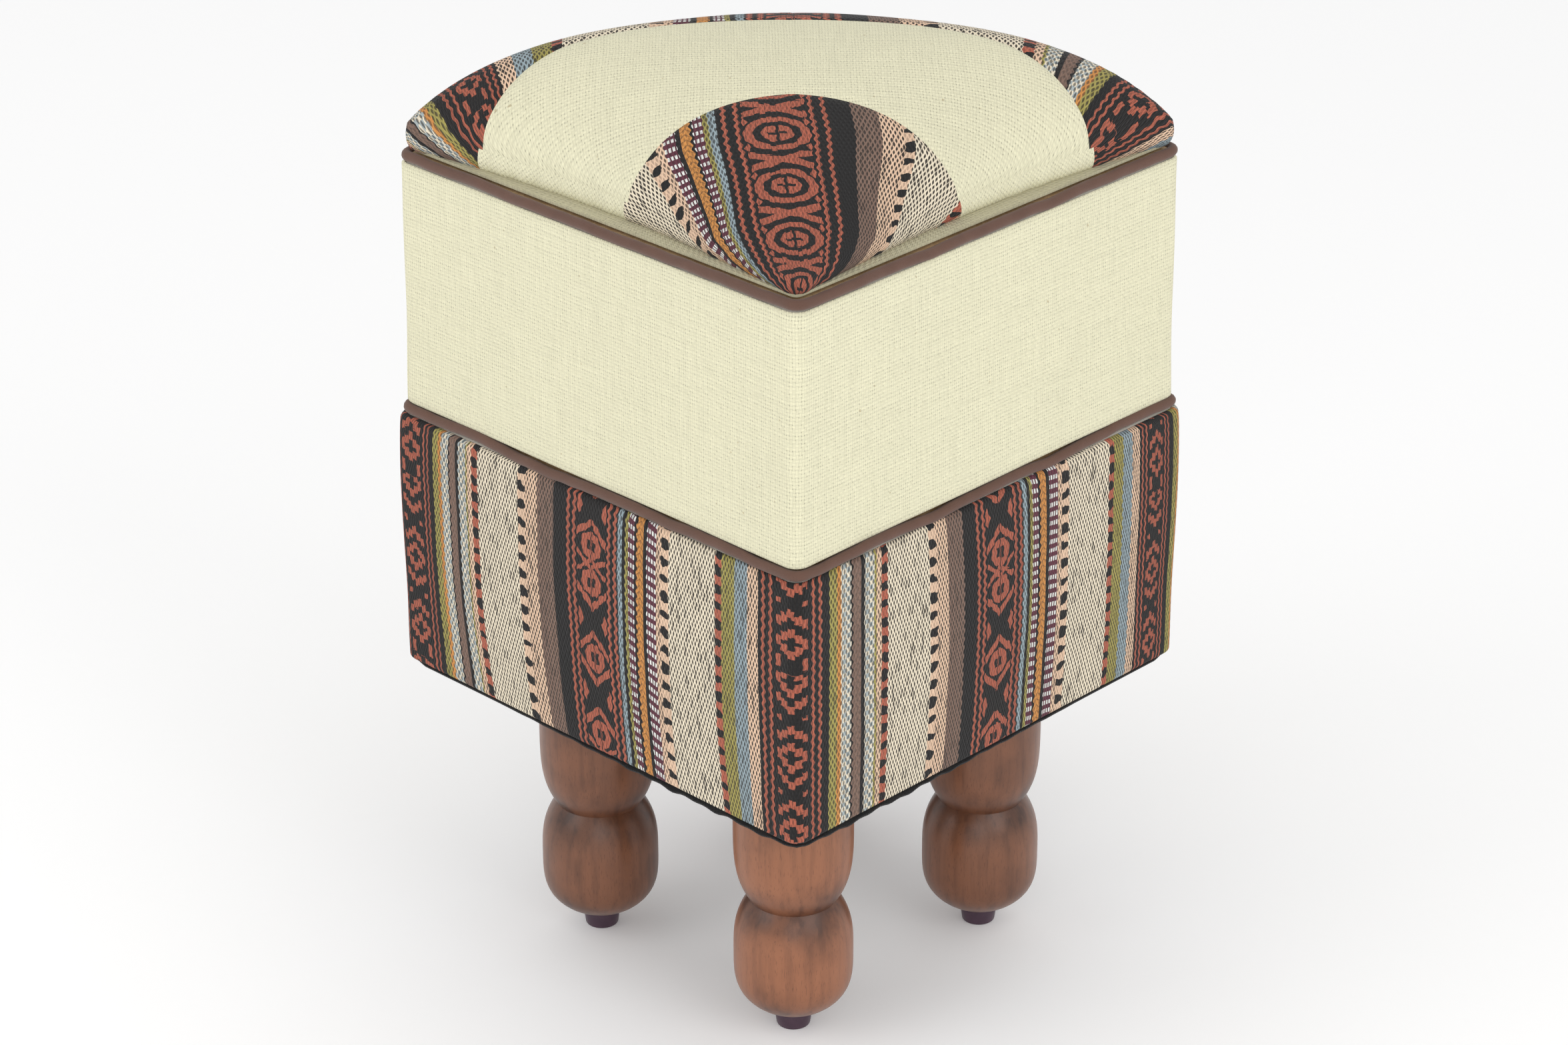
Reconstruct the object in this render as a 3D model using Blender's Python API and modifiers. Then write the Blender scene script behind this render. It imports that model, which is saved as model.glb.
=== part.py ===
"""A square storage footstool: an upholstered plywood box on four turned legs, with a loose padded lid.

Units are metres and +Z is up. The origin is on the floor, under the middle of the stool. Its sides lie along X and
Y, the front is at -Y, and the corner at (+X, -Y) is the one that the arch on the lid springs from.
"""

import math

import bmesh
import bpy
from mathutils import Matrix, Vector

# Driving dimensions, in metres
GAP = 0.0003

CARCASS_SIDE = 0.286
CARCASS_HEIGHT = 0.302
PANEL_THICKNESS = 0.012
BASE_THICKNESS = 0.018
CORNER_BLOCK_LEG = 0.020
CORNER_BLOCK_DROP = 0.004

UPPER_PADDING_THICKNESS = 0.0048
UPPER_COVER_WAIST = 0.0012
UPPER_COVER_THICKNESS = 0.0016
UPPER_CORNER_RADIUS = 0.005
LOWER_PADDING_THICKNESS = 0.0087
LOWER_COVER_TUCK = 0.0034
LOWER_COVER_ROLL = 0.0040
LOWER_COVER_FULLEST_DROP = 0.020
LOWER_COVER_DRAW_IN = 0.0006
LOWER_COVER_THICKNESS = 0.0018
LOWER_CORNER_RADIUS = 0.006
HEM_WIDTH = 0.026
BAND_DROP = 0.1476
PIPING_RADIUS = 0.00285
LOWER_PIPING_PROUD = 0.0033
RIM_FACING_THICKNESS = 0.0016
LINING_THICKNESS = 0.0012
LINING_CORNER_RADIUS = 0.036
DUST_COVER_INSET = 0.0022
DUST_COVER_THICKNESS = 0.0008
DUST_COVER_LEG_CLEARANCE = 0.0015

LEG_SPACING = 0.1546
LEG_LENGTH = 0.1653
LEG_NECK_HEIGHT = 0.0712
LEG_NECK_RADIUS = 0.0245
LEG_FOOT_RADIUS = 0.0135
LEG_TOP_RADIUS = 0.027
LOWER_BULB_RADIUS = 0.0333
UPPER_BULB_RADIUS = 0.0333
BULB_FULLNESS = 0.64
GLIDE_HEIGHT = 0.0115
GLIDE_TOP_RADIUS = 0.0108
GLIDE_FOOT_RADIUS = 0.0093
NAIL_SHANK_RADIUS = 0.0013
NAIL_HEAD_RADIUS = 0.0030
NAIL_HEAD_THICKNESS = 0.0012
NAIL_RECESS = 0.0020
NAIL_LENGTH = 0.0265

BOLT_RADIUS = 0.0040
BOLT_DEPTH_IN_LEG = 0.034
BOLT_SHORT_OF_TOP = 0.0010
TEE_NUT_BARREL_RADIUS = 0.0054
TEE_NUT_BARREL_LENGTH = 0.010
TEE_NUT_FLANGE_RADIUS = 0.0120
TEE_NUT_FLANGE_THICKNESS = 0.0015
COUNTERBORE_DEPTH = 0.0020

LID_LEDGE = 0.009
LID_BOARD_THICKNESS = 0.0045
LID_BOARD_CORNER_RADIUS = 0.022
LID_COVER_THICKNESS = 0.0018
LID_FRONT_CORNER_FLARE = 0.0108
LID_BACK_CORNER_FLARE = -0.0010
LID_PLUMP_CORNER_FLARE = 0.0125
LID_CORNER_RADIUS = 0.007
LID_CROWN_HEIGHT = 0.0636
LID_PINCHED_CORNER_HEIGHT = 0.0095
LID_PLUMP_CORNER_HEIGHT = 0.014
UNDER_CLOTH_THICKNESS = 0.0010
CROWN_POWER = 4.0
CROWN_FULLNESS = 0.50
CROWN_RIDGE_ROUNDING = 0.22
CROWN_LOOP_SPREAD = 1.5
PATCH_CENTRE = 0.0425
PATCH_RADIUS = 0.1018
ARCH_CENTRE = 0.0165
ARCH_RADIUS = 0.2195
BATTEN_LENGTH = 0.160
BATTEN_WIDTH = 0.016
BATTEN_DEPTH = 0.014
BATTEN_CLEARANCE = 0.007
SCREW_SPACING = 0.100
SCREW_HEAD_RADIUS = 0.0036
SCREW_HEAD_HEIGHT = 0.0022
SCREW_SHANK_RADIUS = 0.0016
SCREW_BITE = 0.0034

# Fineness of the rounded shapes, in counts
CORNER_STEPS = 4
SIDE_STEPS = 6
CROWN_LOOPS = 9
BULB_STEPS = 8
LEG_SEGMENTS = 20
SMALL_SEGMENTS = 16
TINY_SEGMENTS = 12
CUTTER_SEGMENTS = 64

# Levels and places that follow from the sizes above
CARCASS_HALF = CARCASS_SIDE / 2
INNER_HALF = CARCASS_HALF - PANEL_THICKNESS
LEG_FOOT = GLIDE_HEIGHT + GAP
LEG_TOP = LEG_FOOT + LEG_LENGTH
CARCASS_BOTTOM = LEG_TOP + GAP
CARCASS_TOP = CARCASS_BOTTOM + CARCASS_HEIGHT
BASE_TOP = CARCASS_BOTTOM + BASE_THICKNESS
RIM_TOP = CARCASS_TOP + GAP + RIM_FACING_THICKNESS
UPPER_COVER_HALF = CARCASS_HALF + GAP + UPPER_PADDING_THICKNESS + GAP + UPPER_COVER_THICKNESS
LOWER_COVER_HALF = CARCASS_HALF + GAP + LOWER_PADDING_THICKNESS + GAP + LOWER_COVER_THICKNESS
HEM_FOLD = LOWER_COVER_HALF - LOWER_COVER_DRAW_IN
UPPER_PIPING_HALF = CARCASS_HALF + GAP + PIPING_RADIUS
UPPER_PIPING_LEVEL = RIM_TOP - PIPING_RADIUS
LOWER_PIPING_HALF = UPPER_PIPING_HALF + LOWER_PIPING_PROUD
LOWER_PIPING_LEVEL = UPPER_PIPING_LEVEL - BAND_DROP
PIPING_CORNER = PIPING_RADIUS + GAP / 2
UPPER_BAND_TOP = UPPER_PIPING_LEVEL - PIPING_RADIUS - GAP
UPPER_BAND_BOTTOM = LOWER_PIPING_LEVEL + PIPING_RADIUS + GAP
LOWER_BAND_TOP = LOWER_PIPING_LEVEL - PIPING_RADIUS - GAP
HEM_TOP = CARCASS_BOTTOM - GAP
HEM_BOTTOM = HEM_TOP - LOWER_COVER_THICKNESS
DUST_COVER_TOP = HEM_BOTTOM - GAP
DUST_COVER_SIDE = 2 * (HEM_FOLD - DUST_COVER_INSET)
LINING_HALF = INNER_HALF - GAP
LINING_INNER_HALF = LINING_HALF - LINING_THICKNESS
LID_BOTTOM = RIM_TOP + GAP
LID_BOARD_BOTTOM = LID_BOTTOM + UNDER_CLOTH_THICKNESS + GAP
LID_BOARD_TOP = LID_BOARD_BOTTOM + LID_BOARD_THICKNESS
LID_HALF = CARCASS_HALF - LID_LEDGE
LID_BOARD_SIDE = 2 * (LID_HALF - GAP - LID_COVER_THICKNESS)
LID_CORNER = LID_HALF + LID_FRONT_CORNER_FLARE
BATTEN_FACE = LINING_INNER_HALF - BATTEN_CLEARANCE
LEG_PLACES = {
    "front_right": (LEG_SPACING / 2, -LEG_SPACING / 2),
    "front_left": (-LEG_SPACING / 2, -LEG_SPACING / 2),
    "back_right": (LEG_SPACING / 2, LEG_SPACING / 2),
    "back_left": (-LEG_SPACING / 2, LEG_SPACING / 2),
}
SIDES = {"front": -90, "right": 0, "back": 90, "left": 180}


def clear_scene():
    for obj in list(bpy.data.objects):
        bpy.data.objects.remove(obj, do_unlink=True)


def new_collection(name):
    collection = bpy.data.collections.new(name)
    bpy.context.scene.collection.children.link(collection)
    return collection


clear_scene()
PARTS = new_collection("storage_footstool")
CUTTERS = new_collection("cutters")
CUTTERS.hide_render = True


def finish(name, colour, roughness, metallic=0.0):
    """A plain surface of one colour."""
    material = bpy.data.materials.new(name)
    material.use_nodes = True
    shader = material.node_tree.nodes["Principled BSDF"]
    shader.inputs["Base Color"].default_value = (*colour, 1.0)
    shader.inputs["Roughness"].default_value = roughness
    shader.inputs["Metallic"].default_value = metallic
    return material


PLYWOOD = finish("birch_plywood", (0.62, 0.46, 0.29), 0.60)
WALNUT = finish("stained_turned_wood", (0.19, 0.075, 0.032), 0.42)
KILIM = finish("kilim_cloth", (0.42, 0.22, 0.14), 0.92)
CREAM = finish("cream_woven_cloth", (0.80, 0.77, 0.57), 0.90)
PIPING = finish("brown_piping", (0.17, 0.09, 0.06), 0.85)
LINING = finish("calico_lining", (0.70, 0.63, 0.50), 0.92)
BLACK_CLOTH = finish("black_dust_cloth", (0.012, 0.012, 0.013), 0.95)
WADDING = finish("cotton_wadding", (0.86, 0.83, 0.76), 0.95)
FOAM = finish("lid_foam", (0.80, 0.72, 0.45), 0.95)
GLIDE = finish("plum_glide_plastic", (0.045, 0.022, 0.038), 0.40)
STEEL = finish("zinc_plated_steel", (0.62, 0.62, 0.60), 0.35, 1.0)


def add_part(name, mesh, material, parent=None):
    """One piece of the stool as an object in the parts' collection, with its material."""
    obj = bpy.data.objects.new(name, mesh)
    PARTS.objects.link(obj)
    mesh.materials.clear()
    mesh.materials.append(material)
    if parent:
        obj.parent = parent
        obj.matrix_parent_inverse = Matrix.Translation(-parent.location)
    return obj


def add_cutter(name, mesh):
    obj = bpy.data.objects.new(name, mesh)
    CUTTERS.objects.link(obj)
    obj.hide_render = True
    obj.display_type = "WIRE"
    return obj


def boolean(obj, cutter, operation="DIFFERENCE"):
    modifier = obj.modifiers.new(cutter.name, "BOOLEAN")
    modifier.operation = operation
    modifier.object = cutter
    return modifier


def to_mesh(bm, name):
    """A mesh from the bmesh, with its faces turned outwards and smooth where they meet at a low angle."""
    bmesh.ops.recalc_face_normals(bm, faces=bm.faces)
    mesh = bpy.data.meshes.new(name)
    bm.to_mesh(mesh)
    bm.free()
    mesh.shade_smooth()
    mesh.set_sharp_from_angle(angle=math.radians(40))
    return mesh


def box_mesh(name, size, centre):
    bm = bmesh.new()
    bmesh.ops.create_cube(bm, size=1.0)
    bmesh.ops.scale(bm, vec=Vector(size), verts=bm.verts)
    bmesh.ops.translate(bm, vec=Vector(centre), verts=bm.verts)
    return to_mesh(bm, name)


def cylinder_mesh(name, radius, bottom, top, segments, centre=(0.0, 0.0)):
    bm = bmesh.new()
    bmesh.ops.create_cone(
        bm, cap_ends=True, segments=segments, radius1=radius, radius2=radius, depth=top - bottom
    )
    bmesh.ops.translate(bm, vec=Vector((*centre, (top + bottom) / 2)), verts=bm.verts)
    return to_mesh(bm, name)


def turned_mesh(name, profile, closed=False):
    """A half section in the XZ plane, running down its outer side, for a Screw modifier to turn."""
    bm = bmesh.new()
    points = [bm.verts.new((radius, 0.0, z)) for radius, z in profile]
    for first, second in zip(points, points[1:]):
        bm.edges.new((first, second))
    if closed:
        bm.edges.new((points[-1], points[0]))
    mesh = bpy.data.meshes.new(name)
    bm.to_mesh(mesh)
    bm.free()
    return mesh


def turn(obj, segments):
    screw = obj.modifiers.new("turning", "SCREW")
    screw.steps = segments
    screw.render_steps = segments
    screw.use_merge_vertices = True
    screw.merge_threshold = 0.00001
    screw.use_smooth_shade = True
    return obj


def rounded_square(half, radius):
    """Points of a square with rounded corners, anticlockwise from the middle of the right side."""
    points = []
    straight = half - radius
    for quarter in range(4):
        turn_by = Matrix.Rotation(math.radians(90 * quarter), 2)
        side = []
        for step in range(SIDE_STEPS // 2):
            side.append((half, straight * 2 * step / SIDE_STEPS))
        for step in range(CORNER_STEPS + 1):
            angle = math.radians(90 * step / CORNER_STEPS)
            side.append((straight + radius * math.cos(angle), straight + radius * math.sin(angle)))
        for step in range(1, SIDE_STEPS // 2):
            side.append((straight * (1 - 2 * step / SIDE_STEPS), half))
        points += [turn_by @ Vector(point) for point in side]
    return points


def add_loop(bm, half, radius, z):
    return [bm.verts.new((*point, z)) for point in rounded_square(half, radius)]


def bridge(bm, first, second):
    """A strip of faces between two loops of equally many points."""
    for i, point in enumerate(first):
        after = (i + 1) % len(first)
        bm.faces.new((point, first[after], second[after], second[i]))


def ring_mesh(name, section):
    """A closed band round the stool: its section is (half side, corner radius, z) all the way round."""
    bm = bmesh.new()
    loops = [add_loop(bm, *station) for station in section]
    for i, loop in enumerate(loops):
        bridge(bm, loop, loops[(i + 1) % len(loops)])
    return to_mesh(bm, name)


def sheet_section(outer, radius, thickness):
    """A sheet's section from its outer side, (half side, z) from top to bottom, and its thickness."""
    front = [(half, radius, z) for half, z in outer]
    back = [(half - thickness, radius - thickness, z) for half, z in reversed(outer)]
    return front + back


def carcass_panels():
    """The four sides and the base of the box, with the blocks glued into its corners."""
    middle = (CARCASS_BOTTOM + CARCASS_TOP) / 2
    offset = CARCASS_HALF - PANEL_THICKNESS / 2
    across = (CARCASS_SIDE, PANEL_THICKNESS, CARCASS_HEIGHT)
    between = (PANEL_THICKNESS, 2 * (INNER_HALF - GAP), CARCASS_HEIGHT)
    for name, size, centre in (
        ("front_panel", across, (0.0, -offset, middle)),
        ("back_panel", across, (0.0, offset, middle)),
        ("left_panel", between, (-offset, 0.0, middle)),
        ("right_panel", between, (offset, 0.0, middle)),
    ):
        add_part(name, box_mesh(name, size, centre), PLYWOOD)

    side = 2 * (INNER_HALF - GAP)
    base_middle = (CARCASS_BOTTOM + BASE_TOP) / 2
    base = add_part("base_panel", box_mesh("base_panel", (side, side, BASE_THICKNESS), (0, 0, base_middle)), PLYWOOD)
    for place, centre in LEG_PLACES.items():
        hole = cylinder_mesh(
            f"barrel_hole_{place}",
            TEE_NUT_BARREL_RADIUS + GAP,
            CARCASS_BOTTOM - BASE_THICKNESS,
            BASE_TOP + BASE_THICKNESS,
            SMALL_SEGMENTS,
            centre,
        )
        boolean(base, add_cutter(hole.name, hole))
        seat = cylinder_mesh(
            f"flange_seat_{place}",
            TEE_NUT_FLANGE_RADIUS + GAP,
            BASE_TOP - COUNTERBORE_DEPTH,
            BASE_TOP + COUNTERBORE_DEPTH,
            SMALL_SEGMENTS,
            centre,
        )
        boolean(base, add_cutter(seat.name, seat))

    bottom = BASE_TOP + GAP
    top = CARCASS_TOP - CORNER_BLOCK_DROP
    for place, (x, y) in LEG_PLACES.items():
        name = f"corner_block_{place}"
        add_part(name, corner_block_mesh(name, math.copysign(1, x), math.copysign(1, y), bottom, top), PLYWOOD)


def corner_block_mesh(name, side_x, side_y, bottom, top):
    """A three-sided block that fills the corner between two panels."""
    corner = INNER_HALF - GAP
    outline = [(corner, corner), (corner - CORNER_BLOCK_LEG, corner), (corner, corner - CORNER_BLOCK_LEG)]
    curve = bpy.data.curves.new(name, "CURVE")
    curve.dimensions = "2D"
    curve.fill_mode = "BOTH"
    curve.extrude = (top - bottom) / 2
    spline = curve.splines.new("POLY")
    spline.points.add(len(outline) - 1)
    spline.use_cyclic_u = True
    for point, (x, y) in zip(spline.points, outline):
        point.co = (side_x * x, side_y * y, 0.0, 1.0)
    shape = bpy.data.objects.new(name + "_outline", curve)
    CUTTERS.objects.link(shape)
    bm = bmesh.new()
    bm.from_mesh(bpy.data.meshes.new_from_object(shape.evaluated_get(bpy.context.evaluated_depsgraph_get())))
    bpy.data.objects.remove(shape, do_unlink=True)
    bmesh.ops.remove_doubles(bm, verts=bm.verts, dist=0.00001)
    bmesh.ops.translate(bm, vec=Vector((0.0, 0.0, (top + bottom) / 2)), verts=bm.verts)
    return to_mesh(bm, name)


def bulb(bottom, top, bottom_radius, top_radius, full_radius):
    """Half section of a turned bulb, from its top to its bottom."""
    points = []
    for step in range(BULB_STEPS + 1):
        angle = math.pi * step / BULB_STEPS
        share = (1 + math.cos(angle)) / 2
        neck = bottom_radius + (top_radius - bottom_radius) * share
        swell = math.sin(angle) ** BULB_FULLNESS
        points.append((neck + (full_radius - neck) * swell, bottom + (top - bottom) * share))
    return points


def leg_profile():
    """A leg of two bulbs with a neck between, bored at the top for its bolt and at the foot for its nail."""
    neck = LEG_FOOT + LEG_NECK_HEIGHT
    bolt_bore = BOLT_RADIUS + GAP
    nail_bore = NAIL_SHANK_RADIUS + GAP
    bolt_floor = LEG_TOP - BOLT_DEPTH_IN_LEG - GAP
    nail_roof = NAIL_RECESS - NAIL_HEAD_THICKNESS + NAIL_LENGTH + GAP
    top_bulb = bulb(neck, LEG_TOP, LEG_NECK_RADIUS, LEG_TOP_RADIUS, UPPER_BULB_RADIUS)
    foot_bulb = bulb(LEG_FOOT, neck, LEG_FOOT_RADIUS, LEG_NECK_RADIUS, LOWER_BULB_RADIUS)
    return (
        [(0.0, bolt_floor), (bolt_bore, bolt_floor), (bolt_bore, LEG_TOP)]
        + top_bulb
        + foot_bulb[1:]
        + [(nail_bore, LEG_FOOT), (nail_bore, nail_roof), (0.0, nail_roof)]
    )


def glide_profile():
    """A tapered plastic foot with a stepped hole for its nail, as a closed section."""
    shank = NAIL_SHANK_RADIUS + GAP
    head = NAIL_HEAD_RADIUS + GAP
    return [
        (shank, GLIDE_HEIGHT),
        (GLIDE_TOP_RADIUS, GLIDE_HEIGHT),
        (GLIDE_FOOT_RADIUS, 0.0),
        (head, 0.0),
        (head, NAIL_RECESS),
        (shank, NAIL_RECESS),
    ]


def nail_profile():
    head_top = NAIL_RECESS - GAP
    head_bottom = head_top - NAIL_HEAD_THICKNESS
    tip = head_bottom + NAIL_LENGTH
    return [
        (0.0, tip),
        (NAIL_SHANK_RADIUS, tip - NAIL_SHANK_RADIUS),
        (NAIL_SHANK_RADIUS, head_top),
        (NAIL_HEAD_RADIUS, head_top),
        (NAIL_HEAD_RADIUS, head_bottom),
        (0.0, head_bottom),
    ]


def bolt_profile():
    top = BASE_TOP - COUNTERBORE_DEPTH + GAP + TEE_NUT_FLANGE_THICKNESS - BOLT_SHORT_OF_TOP
    bottom = LEG_TOP - BOLT_DEPTH_IN_LEG
    return [(0.0, top), (BOLT_RADIUS, top), (BOLT_RADIUS, bottom), (0.0, bottom)]


def tee_nut_profile():
    """A nut with a barrel let into the base and a flange on top, as a closed section."""
    seat = BASE_TOP - COUNTERBORE_DEPTH + GAP
    top = seat + TEE_NUT_FLANGE_THICKNESS
    bore = BOLT_RADIUS + GAP
    return [
        (bore, top),
        (TEE_NUT_FLANGE_RADIUS, top),
        (TEE_NUT_FLANGE_RADIUS, seat),
        (TEE_NUT_BARREL_RADIUS, seat),
        (TEE_NUT_BARREL_RADIUS, seat - TEE_NUT_BARREL_LENGTH),
        (bore, seat - TEE_NUT_BARREL_LENGTH),
    ]


def legs():
    """The four legs with their glides and fixings, each set turned from shared sections."""
    pieces = (
        ("leg", turned_mesh("leg", leg_profile()), WALNUT, LEG_SEGMENTS),
        ("foot_glide", turned_mesh("foot_glide", glide_profile(), True), GLIDE, LEG_SEGMENTS),
        ("glide_nail", turned_mesh("glide_nail", nail_profile()), STEEL, TINY_SEGMENTS),
        ("hanger_bolt", turned_mesh("hanger_bolt", bolt_profile()), STEEL, SMALL_SEGMENTS),
        ("tee_nut", turned_mesh("tee_nut", tee_nut_profile(), True), STEEL, SMALL_SEGMENTS),
    )
    for place, (x, y) in LEG_PLACES.items():
        for name, mesh, material, segments in pieces:
            piece = turn(add_part(f"{name}_{place}", mesh, material), segments)
            piece.location = (x, y, 0.0)


def upholstery():
    """The padding and covers of the box: a plain band over a kilim band, with piping at both their tops."""
    middle = (UPPER_BAND_TOP + UPPER_BAND_BOTTOM) / 2
    upper = [
        (UPPER_COVER_HALF - UPPER_COVER_WAIST, UPPER_BAND_TOP),
        (UPPER_COVER_HALF - UPPER_COVER_WAIST, middle),
        (UPPER_COVER_HALF, UPPER_BAND_BOTTOM),
    ]
    add_part(
        "upper_cover",
        ring_mesh("upper_cover", sheet_section(upper, UPPER_CORNER_RADIUS, UPPER_COVER_THICKNESS)),
        CREAM,
    )
    add_padding("upper_padding", upper, UPPER_CORNER_RADIUS, UPPER_COVER_THICKNESS)

    crease = LOWER_COVER_THICKNESS
    lower = [
        (LOWER_COVER_HALF - LOWER_COVER_TUCK, LOWER_BAND_TOP),
        (LOWER_COVER_HALF - LOWER_COVER_DRAW_IN, LOWER_BAND_TOP - LOWER_COVER_ROLL),
        (LOWER_COVER_HALF, LOWER_BAND_TOP - LOWER_COVER_FULLEST_DROP),
        (HEM_FOLD, HEM_TOP + 2 * crease),
    ]
    outer = [(half, LOWER_CORNER_RADIUS, z) for half, z in lower]
    under = [
        (HEM_FOLD - crease / 3, LOWER_CORNER_RADIUS, HEM_BOTTOM + crease / 3),
        (HEM_FOLD - crease, LOWER_CORNER_RADIUS, HEM_BOTTOM),
        (HEM_FOLD - HEM_WIDTH, LOWER_CORNER_RADIUS, HEM_BOTTOM),
        (HEM_FOLD - HEM_WIDTH, LOWER_CORNER_RADIUS, HEM_TOP),
        (HEM_FOLD - crease, LOWER_CORNER_RADIUS - crease, HEM_TOP),
    ]
    inner = [(half - crease, LOWER_CORNER_RADIUS - crease, z) for half, z in reversed(lower)]
    add_part("lower_cover", ring_mesh("lower_cover", outer + under + inner), KILIM)
    add_padding("lower_padding", lower, LOWER_CORNER_RADIUS, LOWER_COVER_THICKNESS)

    rim = [(CARCASS_HALF, RIM_TOP), (CARCASS_HALF, CARCASS_TOP + GAP)]
    inner_rim = [(LINING_INNER_HALF, z) for _, z in reversed(rim)]
    rim_corner = LINING_CORNER_RADIUS - LINING_THICKNESS
    section = [(half, GAP, z) for half, z in rim] + [(half, rim_corner, z) for half, z in inner_rim]
    add_part("rim_facing", ring_mesh("rim_facing", section), CREAM)

    add_piping("upper_piping", UPPER_PIPING_HALF, UPPER_PIPING_LEVEL)
    add_piping("lower_piping", LOWER_PIPING_HALF, LOWER_PIPING_LEVEL)


def add_padding(name, cover, radius, thickness):
    """Wadding between the panels and a cover, whose outer side is given from top to bottom."""
    inset = thickness + GAP
    outer = [(half - inset, radius - thickness, z) for half, z in cover]
    inner = [(CARCASS_HALF + GAP, GAP, z) for _, z in reversed(cover)]
    add_part(name, ring_mesh(name, outer + inner), WADDING)


def add_piping(name, half, level):
    """A cloth-covered cord all round the stool."""
    curve = bpy.data.curves.new(name, "CURVE")
    curve.dimensions = "3D"
    curve.bevel_depth = PIPING_RADIUS
    curve.bevel_resolution = 2
    points = rounded_square(half, PIPING_CORNER)
    spline = curve.splines.new("POLY")
    spline.points.add(len(points) - 1)
    spline.use_cyclic_u = True
    for point, (x, y) in zip(spline.points, points):
        point.co = (x, y, level, 1.0)
    curve.materials.append(PIPING)
    PARTS.objects.link(bpy.data.objects.new(name, curve))


def storage_lining():
    """The cloth bag that lines the box, open at the top."""
    bm = bmesh.new()
    floor = BASE_TOP + GAP
    top = add_loop(bm, LINING_HALF, LINING_CORNER_RADIUS, CARCASS_TOP)
    bottom = add_loop(bm, LINING_HALF, LINING_CORNER_RADIUS, floor)
    bridge(bm, top, bottom)
    bm.faces.new(bottom)
    lining = add_part("storage_lining", to_mesh(bm, "storage_lining"), LINING)
    shell = lining.modifiers.new("cloth", "SOLIDIFY")
    shell.thickness = LINING_THICKNESS
    shell.offset = -1.0
    shell.use_even_offset = True


def dust_cover():
    """Black cloth under the base, with a hole for each leg."""
    size = (DUST_COVER_SIDE, DUST_COVER_SIDE, DUST_COVER_THICKNESS)
    centre = (0.0, 0.0, DUST_COVER_TOP - DUST_COVER_THICKNESS / 2)
    cover = add_part("dust_cover", box_mesh("dust_cover", size, centre), BLACK_CLOTH)
    radius = UPPER_BULB_RADIUS + DUST_COVER_LEG_CLEARANCE
    for place, leg_centre in LEG_PLACES.items():
        hole = cylinder_mesh(
            f"leg_hole_{place}",
            radius,
            DUST_COVER_TOP - LEG_LENGTH,
            DUST_COVER_TOP + LEG_LENGTH,
            LEG_SEGMENTS,
            leg_centre,
        )
        boolean(cover, add_cutter(hole.name, hole))


def crown_fall(across):
    """How far a ridge has fallen, as a share, at a place across it: 0 on the ridge and 1 at either end."""
    top = CROWN_RIDGE_ROUNDING
    return (math.hypot(across, top) - top) / (math.hypot(1.0, top) - top)


def crown_surface(bm, inset):
    """The lid's crowned top in loops from its edge inwards, and the point at its middle.

    A rounded ridge runs from one plump corner to the other and falls to the two pinched corners. Along each side the
    edge is drawn in between the corners. The inset moves the surface inwards and down, for what lies under it.
    """
    outline = []
    for point in rounded_square(LID_HALF, LID_CORNER_RADIUS):
        reach = max(abs(point.x), abs(point.y))
        unit = point / reach
        pinch = (1 - unit.x * unit.y) / 2
        pinched_flare = LID_FRONT_CORNER_FLARE if unit.x > unit.y else LID_BACK_CORNER_FLARE
        flare = pinched_flare * pinch + LID_PLUMP_CORNER_FLARE * (1 - pinch)
        towards_corner = min(abs(unit.x), abs(unit.y)) ** 2
        edge = point * ((LID_HALF + flare * towards_corner - inset) / LID_HALF)
        edge_height = LID_PINCHED_CORNER_HEIGHT * pinch + LID_PLUMP_CORNER_HEIGHT * (1 - pinch)
        outline.append((unit, edge, edge_height))
    loops = []
    for step in range(CROWN_LOOPS):
        reach = 1 - (step / CROWN_LOOPS) ** CROWN_LOOP_SPREAD
        loop = []
        for unit, edge, edge_height in outline:
            along_x = 1 - abs(reach * unit.x) ** CROWN_POWER
            along_y = 1 - abs(reach * unit.y) ** CROWN_POWER
            rise = (along_x * along_y) ** CROWN_FULLNESS
            fall = crown_fall(reach * (unit.x - unit.y) / 2)
            ridge = LID_CROWN_HEIGHT - (LID_CROWN_HEIGHT - LID_PINCHED_CORNER_HEIGHT) * fall
            height = edge_height + (ridge - edge_height) * rise
            loop.append(bm.verts.new((*(edge * reach), LID_BOTTOM + height - inset)))
        loops.append(loop)
    for outer, inner in zip(loops, loops[1:]):
        bridge(bm, outer, inner)
    middle = bm.verts.new((0.0, 0.0, LID_BOTTOM + LID_CROWN_HEIGHT - inset))
    last = loops[-1]
    for i, point in enumerate(last):
        bm.faces.new((point, last[(i + 1) % len(last)], middle))
    return loops[0]


def lower_edge(bm, edge, level):
    """A loop straight under an edge, joined to it by a strip of faces."""
    loop = [bm.verts.new((point.co.x, point.co.y, level)) for point in edge]
    bridge(bm, loop, edge)
    return loop


def lid_cover_mesh(name):
    bm = bmesh.new()
    edge = crown_surface(bm, 0.0)
    lower_edge(bm, edge, LID_BOTTOM)
    return to_mesh(bm, name)


def plate_mesh(name, bottom, top):
    """A flat plate of the lid board's outline, which is a square with rounded corners."""
    bm = bmesh.new()
    upper = add_loop(bm, LID_BOARD_SIDE / 2, LID_BOARD_CORNER_RADIUS, top)
    lower = add_loop(bm, LID_BOARD_SIDE / 2, LID_BOARD_CORNER_RADIUS, bottom)
    bridge(bm, upper, lower)
    bm.faces.new(upper)
    bm.faces.new(lower)
    return to_mesh(bm, name)


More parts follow.
